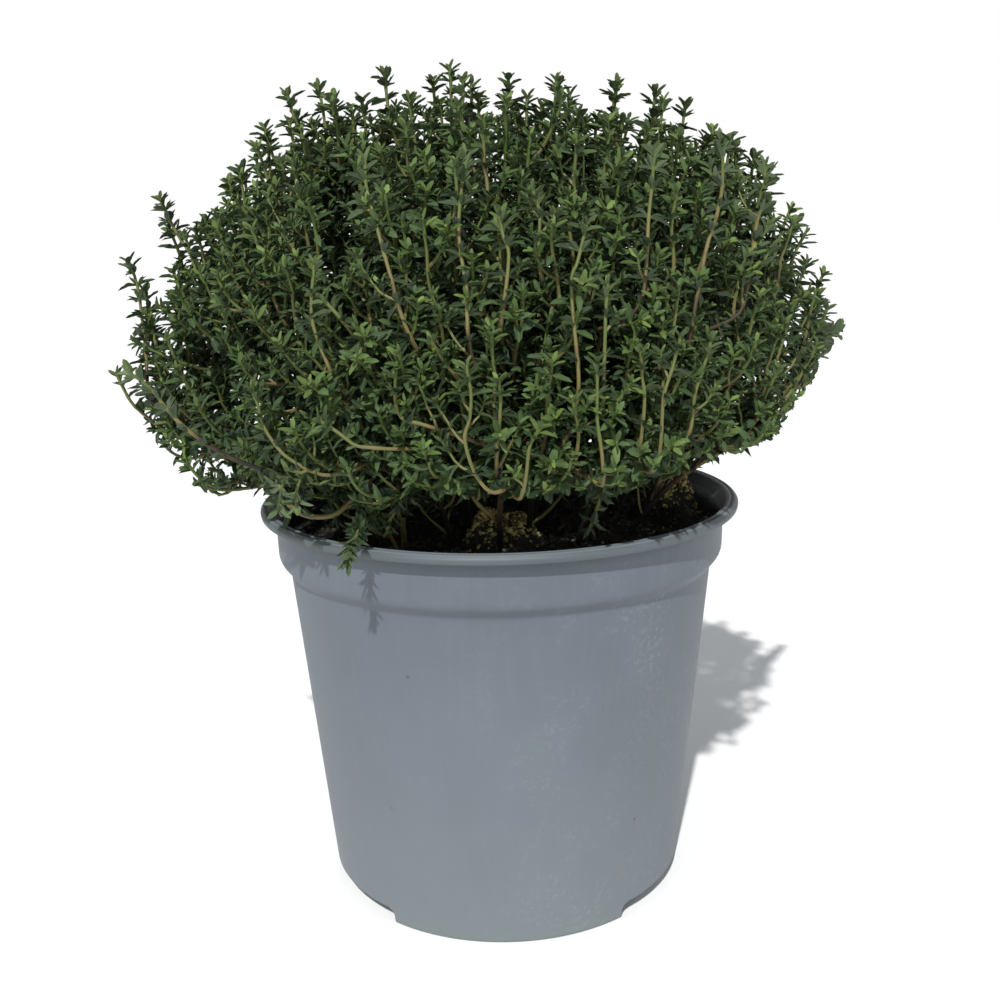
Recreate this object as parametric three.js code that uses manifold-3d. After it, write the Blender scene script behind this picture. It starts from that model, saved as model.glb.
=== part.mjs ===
// Potted thyme: a bushy common thyme in a moulded nursery pot.
// Millimetres, +Z up. The origin is on the ground under the middle of the pot,
// and the middle of one of the pot's three feet faces -Y, the front.

import * as THREE from 'three';
import { mergeVertices } from 'three/addons/utils/BufferGeometryUtils.js';
import Module from 'manifold-3d';

const wasm = await Module();
wasm.setup();

// Pot.
const POT_HEIGHT = 116;
const RIM_RADIUS = 70;
const LIP_WIDTH = 3.4;
const LIP_DEPTH = 3.8;
const LIP_ROUND = 1.2;
const BAND_RADIUS = 65.4;
const BAND_HEIGHT = 12.3;
const SHOULDER_HEIGHT = 2.7;
const BODY_TOP_RADIUS = 62.3;
const BODY_FOOT_RADIUS = 53.4;
const FOOT_RADIUS = 52.8;
const FOOT_HEIGHT = 4.6;
const FOOT_THICKNESS = 2;
const WALL = 1.4;
const POT_SEGMENTS = 32;

// Three notches in the foot ring, and drain holes in the raised floor.
const NOTCH_COUNT = 3;
const NOTCH_ANGLE = THREE.MathUtils.degToRad(45);
const NOTCH_REACH = 16;
const NOTCH_ROUND = 1.4;
const DRAIN_COUNT = 6;
const DRAIN_RADIUS = 4;
const DRAIN_CIRCLE_RADIUS = 38;
const DRAIN_SIDES = 8;

// Soil, with lumps that stand out of it.
const CLEARANCE = 0.3;
const SOIL_EDGE_HEIGHT = 107;
const SOIL_CROWN_RISE = 2.5;
const SOIL_RELIEF = 0.8;
const SOIL_WAVE_X = 20;
const SOIL_WAVE_Y = 23;
const SOIL_SEGMENTS = POT_SEGMENTS / 2;
const SOIL_RINGS = [46, 22];
const LUMPS = [
  { x: 3, y: -52, rise: 4, spread: 7 },
  { x: 53, y: -8, rise: 4, spread: 6 },
  { x: 45, y: 2, rise: 3, spread: 5 },
];
const ROOT_DEPTH = 9;
const HOLE_INRADIUS = 2;
const HOLE_LENGTH = 22;
const HOLE_SPARE = 0.6;

// The stems stand on a disc of soil, and their tips spread evenly over a dome.
const STEM_COUNT = 42;
const GOLDEN_ANGLE = Math.PI * (3 - Math.sqrt(5));
const ROOT_DISC_RADIUS = 41;
const DOME_CENTRE_HEIGHT = 134;
const DOME_HALF_WIDTH = 100;
const DOME_HALF_DEPTH = 90;
const DOME_RISE = 96;
const DOME_SQUARENESS = 0.83;
const LEAN_MAX = THREE.MathUtils.degToRad(93);
const LEAN_JITTER = 0.05;
const REACH_LEAST = 0.93;
const LAUNCH_SPREAD = 0.4;
const ENDING_RISE = 0.3;
const ENDING_RISE_UPRIGHT = 0.6;
const ENDING_SPREAD = 0.9;
const HANDLE_SHARE = 0.36;

// Two low stems have routes of their own, in place of the ones that the dome gives them.
const NAMED_STEMS = {
  33: { name: 'low_runner', route: [[-27, -22, 98], [-36, -36, 126], [-50, -46, 117], [-60, -31, 127]] },
  41: { name: 'rim_sprig', route: [[-26, -32, 98], [-30, -50, 134], [-35, -66, 124], [-37, -75.5, 113]] },
};
const NAMED_STEM_SHOOTS = 1;

// Twigs: square stems, and three-sided side shoots that turn up beside them.
const STEM_HALF_SIDE = 0.85;
const STEM_STEPS = 6;
const SHOOTS_PER_STEM = 3;
const SHOOT_RADIUS = 0.78;
const SHOOT_STEPS = 2;
const FIRST_SHOOT_SHARE = 0.3;
const NEXT_SHOOT_SHARE = 0.18;
const SHOOT_SHARE_JITTER = 0.03;
const SHOOT_TURN_JITTER = 0.3;
const SHOOT_OFFSET = [11, 15];
const SHOOT_LENGTH_SHARE = [0.26, 0.34];
const SHOOT_BEND_ALONG = 0.3;
const SHOOT_BEND_AWAY = 0.7;
const LOW_SHOOT_HEIGHT = 132;

// Leaves: a steep tuft at every tip, and flatter leaves below it.
const LEAF_LENGTH = 12;
const LEAF_LENGTH_SHARE = [0.85, 1.1];
const LEAF_HALF_WIDTH = 2.4;
const LEAF_THICKNESS = 1.2;
const LEAF_SINK = 0.3;
const LEAF_RISE = [0.3, 0.7];
const LEAF_SHARE_JITTER = 0.03;
const LOWEST_LEAF_SHARE = 0.25;
const TUFT_LEAVES = 2;
const STEM_LOWER_LEAVES = 4;
const SHOOT_LOWER_LEAVES = 1;
const TUFT_TOP = 1.2;
const TUFT_SPACING = 1.5;
const TUFT_DEPTH = 8;
const TUFT_RISE = 1.05;
const TUFT_RISE_FALL = 0.08;
const LEAF_TEST_SHARES = [0.15, 0.4, 0.6, 0.8, 1];
const LEAF_SOIL_GAP = 2;
const LEAF_RIM_GAP = 2.6;
const RIM_ZONE_WIDTH = 5;

const WELD = 1e-4;
const JOIN_TOLERANCE = 0.03;
const UP = new THREE.Vector3(0, 0, 1);
const POT_FINISH = { color: 0x8a9399, roughness: 0.5 };
const SOIL_FINISH = { color: 0x1f1a16, roughness: 0.95 };
const LEAF_FINISH = { color: 0x3f5f3a, roughness: 0.75 };

// Heights on the pot that follow from its sizes.
const lipBottom = POT_HEIGHT - LIP_DEPTH;
const bandBottom = lipBottom - BAND_HEIGHT;
const bodyTop = bandBottom - SHOULDER_HEIGHT;
const floorTop = FOOT_HEIGHT + WALL;

// Random draws that come out the same each run.
let seed = 23;

function draw(low, high) {
  seed = (seed * 1664525 + 1013904223) % 4294967296;
  return low + (high - low) * seed / 4294967296;
}

// Turns a closed geometry into a solid for joining and cutting.
function toSolid(geometry) {
  geometry.deleteAttribute('normal');
  geometry.deleteAttribute('uv');
  const merged = mergeVertices(geometry, WELD);
  const corners = [];
  for (let i = 0; i < merged.index.count; i += 3) {
    const [a, b, c] = [0, 1, 2].map((j) => merged.index.getX(i + j));
    if (a !== b && b !== c && c !== a) {
      corners.push(a, b, c);
    }
  }
  return new wasm.Manifold(new wasm.Mesh({
    numProp: 3,
    vertProperties: new Float32Array(merged.attributes.position.array),
    triVerts: new Uint32Array(corners),
  }));
}

function toMesh(name, solid, finish) {
  const result = solid.getMesh();
  const geometry = new THREE.BufferGeometry();
  geometry.setAttribute('position', new THREE.BufferAttribute(result.vertProperties, 3));
  geometry.setIndex(new THREE.BufferAttribute(result.triVerts, 1));
  geometry.computeVertexNormals();
  const mesh = new THREE.Mesh(geometry, new THREE.MeshStandardMaterial({ ...finish, metalness: 0 }));
  mesh.name = name;
  return mesh;
}

// Spins an outline of [radius, height] points about the Z axis.
function spin(outline, segments) {
  const points = outline.map(([radius, height]) => new THREE.Vector2(radius, height));
  return new THREE.LatheGeometry(points, segments).rotateX(Math.PI / 2);
}

// Inner radius of the pot's tapering body at a height.
function bodyInnerRadius(height) {
  const share = (height - FOOT_HEIGHT) / (bodyTop - FOOT_HEIGHT);
  return THREE.MathUtils.lerp(BODY_FOOT_RADIUS, BODY_TOP_RADIUS, share) - WALL;
}

// A block that cuts one round-cornered notch, as wide as its angle of the foot ring.
function notchTool(turn) {
  const half = FOOT_RADIUS * Math.sin(NOTCH_ANGLE / 2);
  const shape = new THREE.Shape();
  shape.moveTo(-half, -1);
  shape.lineTo(-half, FOOT_HEIGHT - NOTCH_ROUND);
  shape.lineTo(-half + NOTCH_ROUND, FOOT_HEIGHT);
  shape.lineTo(half - NOTCH_ROUND, FOOT_HEIGHT);
  shape.lineTo(half, FOOT_HEIGHT - NOTCH_ROUND);
  shape.lineTo(half, -1);
  const block = new THREE.ExtrudeGeometry(shape, { depth: NOTCH_REACH, bevelEnabled: false });
  block.rotateX(Math.PI / 2);
  block.rotateZ(Math.PI / 2 + turn);
  const inner = FOOT_RADIUS * Math.cos(NOTCH_ANGLE / 2) - 3 * FOOT_THICKNESS;
  return toSolid(block.translate(inner * Math.cos(turn), inner * Math.sin(turn), 0));
}

function drainTool(turn) {
  const drain = new THREE.CylinderGeometry(DRAIN_RADIUS, DRAIN_RADIUS, 4 * WALL, DRAIN_SIDES);
  drain.rotateX(Math.PI / 2);
  const [x, y] = [DRAIN_CIRCLE_RADIUS * Math.cos(turn), DRAIN_CIRCLE_RADIUS * Math.sin(turn)];
  return toSolid(drain.translate(x, y, FOOT_HEIGHT + WALL / 2));
}

function makePot() {
  const outline = [
    [0, FOOT_HEIGHT],
    [FOOT_RADIUS - FOOT_THICKNESS, FOOT_HEIGHT],
    [FOOT_RADIUS - FOOT_THICKNESS, 0],
    [FOOT_RADIUS, 0],
    [BODY_FOOT_RADIUS, FOOT_HEIGHT],
    [BODY_TOP_RADIUS, bodyTop],
    [BAND_RADIUS - 0.9, bandBottom - 1],
    [BAND_RADIUS, bandBottom + 0.6],
    [BAND_RADIUS + 0.3, lipBottom],
    [RIM_RADIUS - 0.4, lipBottom],
    [RIM_RADIUS, lipBottom + 0.9],
    [RIM_RADIUS - 0.2, POT_HEIGHT - LIP_ROUND],
    [RIM_RADIUS - LIP_ROUND, POT_HEIGHT],
    [RIM_RADIUS - LIP_WIDTH, POT_HEIGHT - 0.4],
    [BAND_RADIUS - WALL, lipBottom - 1.5],
    [BAND_RADIUS - WALL - 0.2, bandBottom + 1.2],
    [BODY_TOP_RADIUS - WALL, bodyTop + 0.8],
    [bodyInnerRadius(floorTop), floorTop],
    [0, floorTop],
  ];
  let pot = toSolid(spin(outline, POT_SEGMENTS));
  for (let i = 0; i < NOTCH_COUNT; i += 1) {
    pot = pot.subtract(notchTool(-Math.PI / 2 + (i + 0.5) * 2 * Math.PI / NOTCH_COUNT));
  }
  for (let i = 0; i < DRAIN_COUNT; i += 1) {
    pot = pot.subtract(drainTool((i + 0.5) * 2 * Math.PI / DRAIN_COUNT));
  }
  return pot;
}

// Height of the soil's surface at a point.
function soilHeight(x, y) {
  const share = Math.min(1, Math.hypot(x, y) / BODY_TOP_RADIUS);
  const wave = Math.sin(2 * Math.PI * x / SOIL_WAVE_X) * Math.cos(2 * Math.PI * y / SOIL_WAVE_Y);
  let height = SOIL_EDGE_HEIGHT + SOIL_CROWN_RISE * (1 - share * share) + SOIL_RELIEF * wave;
  for (const lump of LUMPS) {
    const distance = Math.hypot(x - lump.x, y - lump.y) / lump.spread;
    height += lump.rise * Math.exp(-distance * distance);
  }
  return height;
}

// A square blind hole round the buried end of a stem, along its first facet.
function holeTool(stem) {
  const [bottom, next] = stem.points;
  const way = next.clone().sub(bottom).normalize();
  const circumradius = HOLE_INRADIUS * Math.SQRT2;
  const hole = new THREE.CylinderGeometry(circumradius, circumradius, HOLE_LENGTH, 4);
  hole.applyQuaternion(new THREE.Quaternion().setFromUnitVectors(new THREE.Vector3(0, 1, 0), way));
  const middle = bottom.clone().addScaledVector(way, HOLE_LENGTH / 2 - HOLE_SPARE);
  return toSolid(hole.translate(middle.x, middle.y, middle.z));
}

// The soil fills the pot from its floor to just below the lip.
function makeSoil(stems) {
  const bottom = floorTop + CLEARANCE;
  const edgeRadius = BAND_RADIUS - WALL - 2 * CLEARANCE;
  const outline = [
    [0, bottom],
    [bodyInnerRadius(bottom) - CLEARANCE, bottom],
    [BODY_TOP_RADIUS - WALL - CLEARANCE, bodyTop + 1.2],
    [edgeRadius, bandBottom + 2],
    [edgeRadius, SOIL_EDGE_HEIGHT],
    ...SOIL_RINGS.map((radius) => [radius, SOIL_EDGE_HEIGHT]),
    [0, SOIL_EDGE_HEIGHT],
  ];
  const geometry = spin(outline, SOIL_SEGMENTS);
  const place = geometry.attributes.position;
  for (let i = 0; i < place.count; i += 1) {
    if (place.getZ(i) > SOIL_EDGE_HEIGHT - CLEARANCE) {
      place.setZ(i, soilHeight(place.getX(i), place.getY(i)));
    }
  }
  return stems.reduce((soil, stem) => soil.subtract(holeTool(stem)), toSolid(geometry));
}

// Route of a stem of the dome, counted from the middle of the crown outwards.
function stemCurve(number) {
  const share = (number + 0.5) / STEM_COUNT;
  const spread = Math.sqrt(share);
  const turn = number * GOLDEN_ANGLE;
  const out = new THREE.Vector3(Math.cos(turn), Math.sin(turn), 0);
  const lean = Math.acos(1 - share * (1 - Math.cos(LEAN_MAX))) + draw(-LEAN_JITTER, LEAN_JITTER);
  const reach = draw(REACH_LEAST, 1);
  const root = out.clone().multiplyScalar(ROOT_DISC_RADIUS * spread);
  root.z = soilHeight(root.x, root.y) - ROOT_DEPTH;
  const across = reach * Math.sin(lean) ** DOME_SQUARENESS;
  const rise = reach * Math.sign(Math.cos(lean)) * Math.abs(Math.cos(lean)) ** DOME_SQUARENESS;
  const tip = new THREE.Vector3(
    DOME_HALF_WIDTH * across * out.x,
    DOME_HALF_DEPTH * across * out.y,
    DOME_CENTRE_HEIGHT + DOME_RISE * rise,
  );
  const launch = UP.clone().addScaledVector(out, LAUNCH_SPREAD * spread).normalize();
  const ending = UP.clone().multiplyScalar(ENDING_RISE + ENDING_RISE_UPRIGHT * Math.cos(lean));
  ending.addScaledVector(out, ENDING_SPREAD * Math.sin(lean)).normalize();
  const handle = root.distanceTo(tip) * HANDLE_SHARE;
  return new THREE.CubicBezierCurve3(
    root,
    root.clone().addScaledVector(launch, handle),
    tip.clone().addScaledVector(ending, -handle),
    tip,
  );
}

// A twig is a stem or a side shoot: its curve, and the facets that it is swept in.
function makeTwig(curve, steps, sides, radius) {
  const frames = curve.computeFrenetFrames(steps, false);
  return { curve, steps, sides, radius, frames, points: curve.getSpacedPoints(steps) };
}

// Place and directions on a twig's faceted axis, at a share of its length.
function station(twig, share) {
  const place = Math.min(share * twig.steps, twig.steps - WELD);
  const step = Math.floor(place);
  const nearest = Math.round(place);
  return {
    point: twig.points[step].clone().lerp(twig.points[step + 1], place - step),
    along: twig.points[step + 1].clone().sub(twig.points[step]).normalize(),
    side: twig.frames.normals[nearest],
    cross: twig.frames.binormals[nearest],
  };
}

// A side shoot leaves its stem at an angle and bends back beside it.
// A shoot that starts low turns upwards, clear of the lip.
function shootCurve(stem, number, firstTurn) {
  const jitter = draw(-SHOOT_SHARE_JITTER, SHOOT_SHARE_JITTER);
  const { point, along } = station(stem, FIRST_SHOOT_SHARE + NEXT_SHOOT_SHARE * number + jitter);
  const turnJitter = draw(-SHOOT_TURN_JITTER, SHOOT_TURN_JITTER);
  const turn = firstTurn + number * 2 * Math.PI / SHOOTS_PER_STEM + turnJitter;
  const level = along.clone().cross(UP).normalize();
  const away = level.clone().multiplyScalar(Math.cos(turn));
  away.addScaledVector(level.cross(along), Math.sin(turn));
  if (point.z < LOW_SHOOT_HEIGHT) {
    away.z = Math.abs(away.z);
  }
  const offset = draw(...SHOOT_OFFSET);
  const length = stem.curve.getLength() * draw(...SHOOT_LENGTH_SHARE);
  const bend = point.clone().addScaledVector(along, length * SHOOT_BEND_ALONG);
  bend.addScaledVector(away, offset * SHOOT_BEND_AWAY);
  const tip = point.clone().addScaledVector(along, length).addScaledVector(away, offset);
  return new THREE.QuadraticBezierCurve3(point, bend, tip);
}

// A straight-sided section: its flat sides face 0, 1, 2 and so on parts of a turn.
function section(sides, radius) {
  const corners = [];
  for (let i = 0; i < sides; i += 1) {
    const angle = (i + 0.5) * 2 * Math.PI / sides;
    corners.push(new THREE.Vector2(radius * Math.cos(angle), radius * Math.sin(angle)));
  }
  return new THREE.Shape(corners);
}

function twigSolid(twig) {
  return toSolid(new THREE.ExtrudeGeometry(section(twig.sides, twig.radius), {
    steps: twig.steps,
    bevelEnabled: false,
    extrudePath: twig.curve,
  }));
}

// A pointed blade along +Y: a thin tetrahedron, with its ridge on top from root to tip.
function bladeGeometry(length) {
  const blade = new THREE.TetrahedronGeometry(Math.sqrt(3)).rotateZ(Math.PI / 4);
  const whole = length + LEAF_SINK;
  blade.scale(LEAF_HALF_WIDTH / Math.SQRT2, whole / (2 * Math.SQRT2), LEAF_THICKNESS / 2);
  return blade.translate(0, whole / 2 - LEAF_SINK, 0);
}

// What leaves have to stay clear of: each line, with its radius and the plant it belongs to.
const taken = [];

function claimTwig(twig, owner) {
  for (let i = 0; i < twig.steps; i += 1) {
    const line = new THREE.Line3(twig.points[i], twig.points[i + 1]);
    taken.push({ line, radius: twig.radius, owner, isLeaf: false });
  }
}

function touchesPot(point) {
  const radius = Math.hypot(point.x, point.y);
  const isOverSoil = radius < BAND_RADIUS;
  const isAtRim = Math.abs(radius - RIM_RADIUS + RIM_ZONE_WIDTH / 2) < RIM_ZONE_WIDTH / 2 + LEAF_RIM_GAP;
  return (isOverSoil && point.z < soilHeight(point.x, point.y) + LEAF_SOIL_GAP)
    || (isAtRim && point.z < POT_HEIGHT + LEAF_RIM_GAP);
}

function isClear(line, owner) {
  const nearest = new THREE.Vector3();
  for (const share of LEAF_TEST_SHARES) {
    const point = line.at(share, new THREE.Vector3());
    if (touchesPot(point)) {
      return false;
    }
    for (const other of taken) {
      const isOwn = other.owner === owner;
      if (isOwn && (!other.isLeaf || share < 0.5)) {
        continue;
      }
      other.line.closestPointToPoint(point, true, nearest);
      if (nearest.distanceTo(point) < LEAF_HALF_WIDTH + other.radius + CLEARANCE) {
        return false;
      }
    }
  }
  return true;
}

// Places one leaf on a flat side of a twig, if nothing is in its way.
function placeLeaf(twig, owner, share, side, rise, blades) {
  const at = station(twig, share);
  const angle = side * 2 * Math.PI / twig.sides;
  const out = at.side.clone().multiplyScalar(Math.cos(angle));
  out.addScaledVector(at.cross, Math.sin(angle));
  const ahead = out.multiplyScalar(Math.cos(rise)).addScaledVector(at.along, Math.sin(rise)).normalize();
  const length = LEAF_LENGTH * draw(...LEAF_LENGTH_SHARE);
  const line = new THREE.Line3(at.point, at.point.clone().addScaledVector(ahead, length));
  if (!isClear(line, owner)) {
    return false;
  }
  taken.push({ line, radius: LEAF_HALF_WIDTH, owner, isLeaf: true });
  const face = at.along.clone().addScaledVector(ahead, -at.along.dot(ahead)).normalize();
  const matrix = new THREE.Matrix4().makeBasis(ahead.clone().cross(face), ahead, face);
  blades.push(toSolid(bladeGeometry(length).applyMatrix4(matrix.setPosition(at.point))));
  return true;
}

// A tuft of steep leaves at a twig's tip, then flatter leaves spread down it.
function leafTwig(twig, owner, lowerLeaves, blades) {
  const length = twig.curve.getLength();
  let side = Math.floor(draw(0, twig.sides));
  let placed = 0;
  for (let below = TUFT_TOP; placed < TUFT_LEAVES && below < TUFT_DEPTH; below += TUFT_SPACING) {
    placed += placeLeaf(twig, owner, 1 - below / length, side, TUFT_RISE - TUFT_RISE_FALL * below, blades);
    side += 1;
  }
  for (let i = 0; i < lowerLeaves; i += 1) {
    const along = (i + 0.5) / lowerLeaves;
    const share = THREE.MathUtils.lerp(1 - TUFT_DEPTH / length, LOWEST_LEAF_SHARE, along);
    for (let tries = 0; tries < twig.sides; tries += 1) {
      side += 1;
      const jitter = draw(-LEAF_SHARE_JITTER, LEAF_SHARE_JITTER);
      if (placeLeaf(twig, owner, share + jitter, side, draw(...LEAF_RISE), blades)) {
        break;
      }
    }
  }
}

// Lays out every plant's stem and shoots before any leaf is placed.
function layOutPlants() {
  const plants = [];
  for (let i = 0; i < STEM_COUNT; i += 1) {
    const named = NAMED_STEMS[i];
    const corners = named?.route.map((point) => new THREE.Vector3(...point));
    plants.push({
      name: named?.name ?? `stem_${String(i + 1).padStart(2, '0')}`,
      curve: named ? new THREE.CubicBezierCurve3(...corners) : stemCurve(i),
      shootCount: named ? NAMED_STEM_SHOOTS : SHOOTS_PER_STEM,
    });
  }
  for (const plant of plants) {
    const firstTurn = draw(0, 2 * Math.PI);
    plant.stem = makeTwig(plant.curve, STEM_STEPS, 4, STEM_HALF_SIDE * Math.SQRT2);
    plant.shoots = [];
    for (let i = 0; i < plant.shootCount; i += 1) {
      plant.shoots.push(makeTwig(shootCurve(plant.stem, i, firstTurn), SHOOT_STEPS, 3, SHOOT_RADIUS));
    }
    [plant.stem, ...plant.shoots].forEach((twig) => claimTwig(twig, plant.name));
  }
  return plants;
}

// One leafy stem: stem, side shoots and leaves joined into one body.
function makePlant(plant) {
  const blades = [];
  leafTwig(plant.stem, plant.name, STEM_LOWER_LEAVES, blades);
  for (const shoot of plant.shoots) {
    leafTwig(shoot, plant.name, SHOOT_LOWER_LEAVES, blades);
  }
  const twigs = [plant.stem, ...plant.shoots].map(twigSolid);
  return wasm.Manifold.union([...twigs, ...blades]).simplify(JOIN_TOLERANCE);
}

const thyme = new THREE.Group();
const plants = layOutPlants();
thyme.add(toMesh('pot', makePot(), POT_FINISH));
thyme.add(toMesh('soil', makeSoil(plants.map((plant) => plant.stem)), SOIL_FINISH));
for (const plant of plants) {
  thyme.add(toMesh(plant.name, makePlant(plant), LEAF_FINISH));
}

export default thyme;
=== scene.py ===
# Potted thyme: the looks of a bushy common thyme in a moulded nursery pot.
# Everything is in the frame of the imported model: metres, +Z up, -Y the front.
# Sizes are named in millimetres and turned into metres by MM.

import math
import random

import bpy
import numpy as np
from mathutils import Matrix, Vector, noise
from mathutils.kdtree import KDTree


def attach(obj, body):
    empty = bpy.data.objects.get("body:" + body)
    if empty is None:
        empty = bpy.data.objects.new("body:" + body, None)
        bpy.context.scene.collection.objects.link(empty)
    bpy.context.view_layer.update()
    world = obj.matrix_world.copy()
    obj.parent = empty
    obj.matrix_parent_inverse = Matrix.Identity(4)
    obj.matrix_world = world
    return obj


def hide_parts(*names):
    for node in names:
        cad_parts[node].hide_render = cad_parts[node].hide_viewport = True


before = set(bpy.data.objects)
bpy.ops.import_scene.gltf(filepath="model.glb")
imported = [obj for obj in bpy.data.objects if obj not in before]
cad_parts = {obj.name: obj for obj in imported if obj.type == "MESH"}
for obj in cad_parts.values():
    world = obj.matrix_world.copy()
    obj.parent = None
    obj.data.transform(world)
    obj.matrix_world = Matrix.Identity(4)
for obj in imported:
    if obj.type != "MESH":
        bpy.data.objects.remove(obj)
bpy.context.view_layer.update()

MM = 0.001
UP = np.array([0.0, 0.0, 1.0])

# Camera: where the photograph was taken from.
CAMERA_PLACE = (0, -342.9, 193.1)
CAMERA_PITCH = 0.2279
CAMERA_YAW = 0.0006
CAMERA_ROLL = -0.0218
CAMERA_LENS = 42.47
CAMERA_SENSOR = 36.0
VIEW_DISTANCE = -CAMERA_PLACE[1]
VIEW_HEIGHT = CAMERA_PLACE[2]

# Pot, with the same heights and radii as its solid.
POT_HEIGHT = 116
RIM_RADIUS = 70
LIP_WIDTH = 3.4
LIP_DEPTH = 3.8
LIP_ROUND = 1.2
BAND_RADIUS = 65.4
BAND_HEIGHT = 12.3
SHOULDER_HEIGHT = 2.7
BODY_TOP_RADIUS = 62.3
BODY_FOOT_RADIUS = 53.4
FOOT_RADIUS = 52.8
FOOT_HEIGHT = 4.6
FOOT_THICKNESS = 2
WALL = 1.4
POT_SEGMENTS = 192
CORNER_STEPS = 4
NOTCH_COUNT = 3
NOTCH_ANGLE = math.radians(45)
NOTCH_REACH = 16
NOTCH_ROUND = 2.2
DRAIN_COUNT = 6
DRAIN_RADIUS = 4
DRAIN_CIRCLE_RADIUS = 38
LIP_BOTTOM = POT_HEIGHT - LIP_DEPTH
BAND_BOTTOM = LIP_BOTTOM - BAND_HEIGHT
BODY_TOP = BAND_BOTTOM - SHOULDER_HEIGHT
FLOOR_TOP = FOOT_HEIGHT + WALL

# Soil: its surface, and what lies on it.
CLEARANCE = 0.3
SOIL_EDGE_HEIGHT = 107
SOIL_CROWN_RISE = 2.5
SOIL_RELIEF = 0.8
SOIL_WAVE_X = 20
SOIL_WAVE_Y = 23
SOIL_SEGMENTS = 360
SOIL_RING_STEP = 1.1
# Low lumps and steep, crusty mounds: x, y, rise and spread. Lime lies in two places, without a rise.
LUMPS = [(3, -52, 4, 7), (53, -8, 4, 6), (45, 2, 3, 5)]
MOUNDS = [(-3.4, -32, 9, 4.6), (5, -32, 8.5, 4.6), (54, 5, 12, 4.5), (49, 2, 6, 4)]
LIME_SPOTS = [(-20, -42, 0, 26), (40, -20, 0, 22)]
FIBRE_COUNT = 260

# Routes of the stems, as in the solids.
STEM_COUNT = 42
GOLDEN_ANGLE = math.pi * (3 - math.sqrt(5))
ROOT_DISC_RADIUS = 41
ROOT_DEPTH = 9
DOME_CENTRE_HEIGHT = 134
DOME_HALF_WIDTH = 100
DOME_HALF_DEPTH = 90
DOME_RISE = 96
DOME_SQUARENESS = 0.83
LEAN_MAX = math.radians(93)
LEAN_JITTER = 0.05
REACH_LEAST = 0.93
LAUNCH_SPREAD = 0.4
ENDING_RISE = 0.3
ENDING_RISE_UPRIGHT = 0.6
ENDING_SPREAD = 0.9
HANDLE_SHARE = 0.36
NAMED_STEMS = {
    33: ("low_runner", [(-27, -22, 98), (-36, -36, 126), (-50, -46, 117), (-60, -31, 127)]),
    41: ("rim_sprig", [(-26, -32, 98), (-30, -50, 134), (-35, -66, 124), (-37, -75.5, 113)]),
}
NAMED_STEM_SHOOTS = 1
STEM_STEPS = 6
SHOOTS_PER_STEM = 3
FIRST_SHOOT_SHARE = 0.3
NEXT_SHOOT_SHARE = 0.18
SHOOT_SHARE_JITTER = 0.03
SHOOT_TURN_JITTER = 0.3
SHOOT_OFFSET = (11, 15)
SHOOT_LENGTH_SHARE = (0.26, 0.34)
SHOOT_BEND_ALONG = 0.3
SHOOT_BEND_AWAY = 0.7
LOW_SHOOT_HEIGHT = 132
CURVE_DIVISIONS = 200

# Where the tips stand out of the bush against the background, from left to right.
OUTLINE_TIPS = [
    (-104, -20, 156), (-101, -10, 186), (-93.5, 0, 203), (-79.5, -20, 194), (-74, 0, 207),
    (-64, 10, 219), (-54, 0, 224), (-47.5, 0, 232), (-29, 0, 235), (-11, 0, 236),
    (5, 0, 233), (19, 0, 231.5), (35, 0, 231), (54, 0, 225), (68, 0, 214),
    (78, 0, 207), (86, 0, 193), (92, 10, 181), (107, 25, 159.5), (93, 0, 172.5),
    (87, 0, 140), (83, 0, 132), (71.5, 0, 126), (-97, -20, 139), (-84, -20, 124.5),
    (-96, -14, 171), (-90, -6, 183), (-86, -22, 176), (-92, -25, 160), (-82, 4, 197), (98, 8, 168),
]

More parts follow.
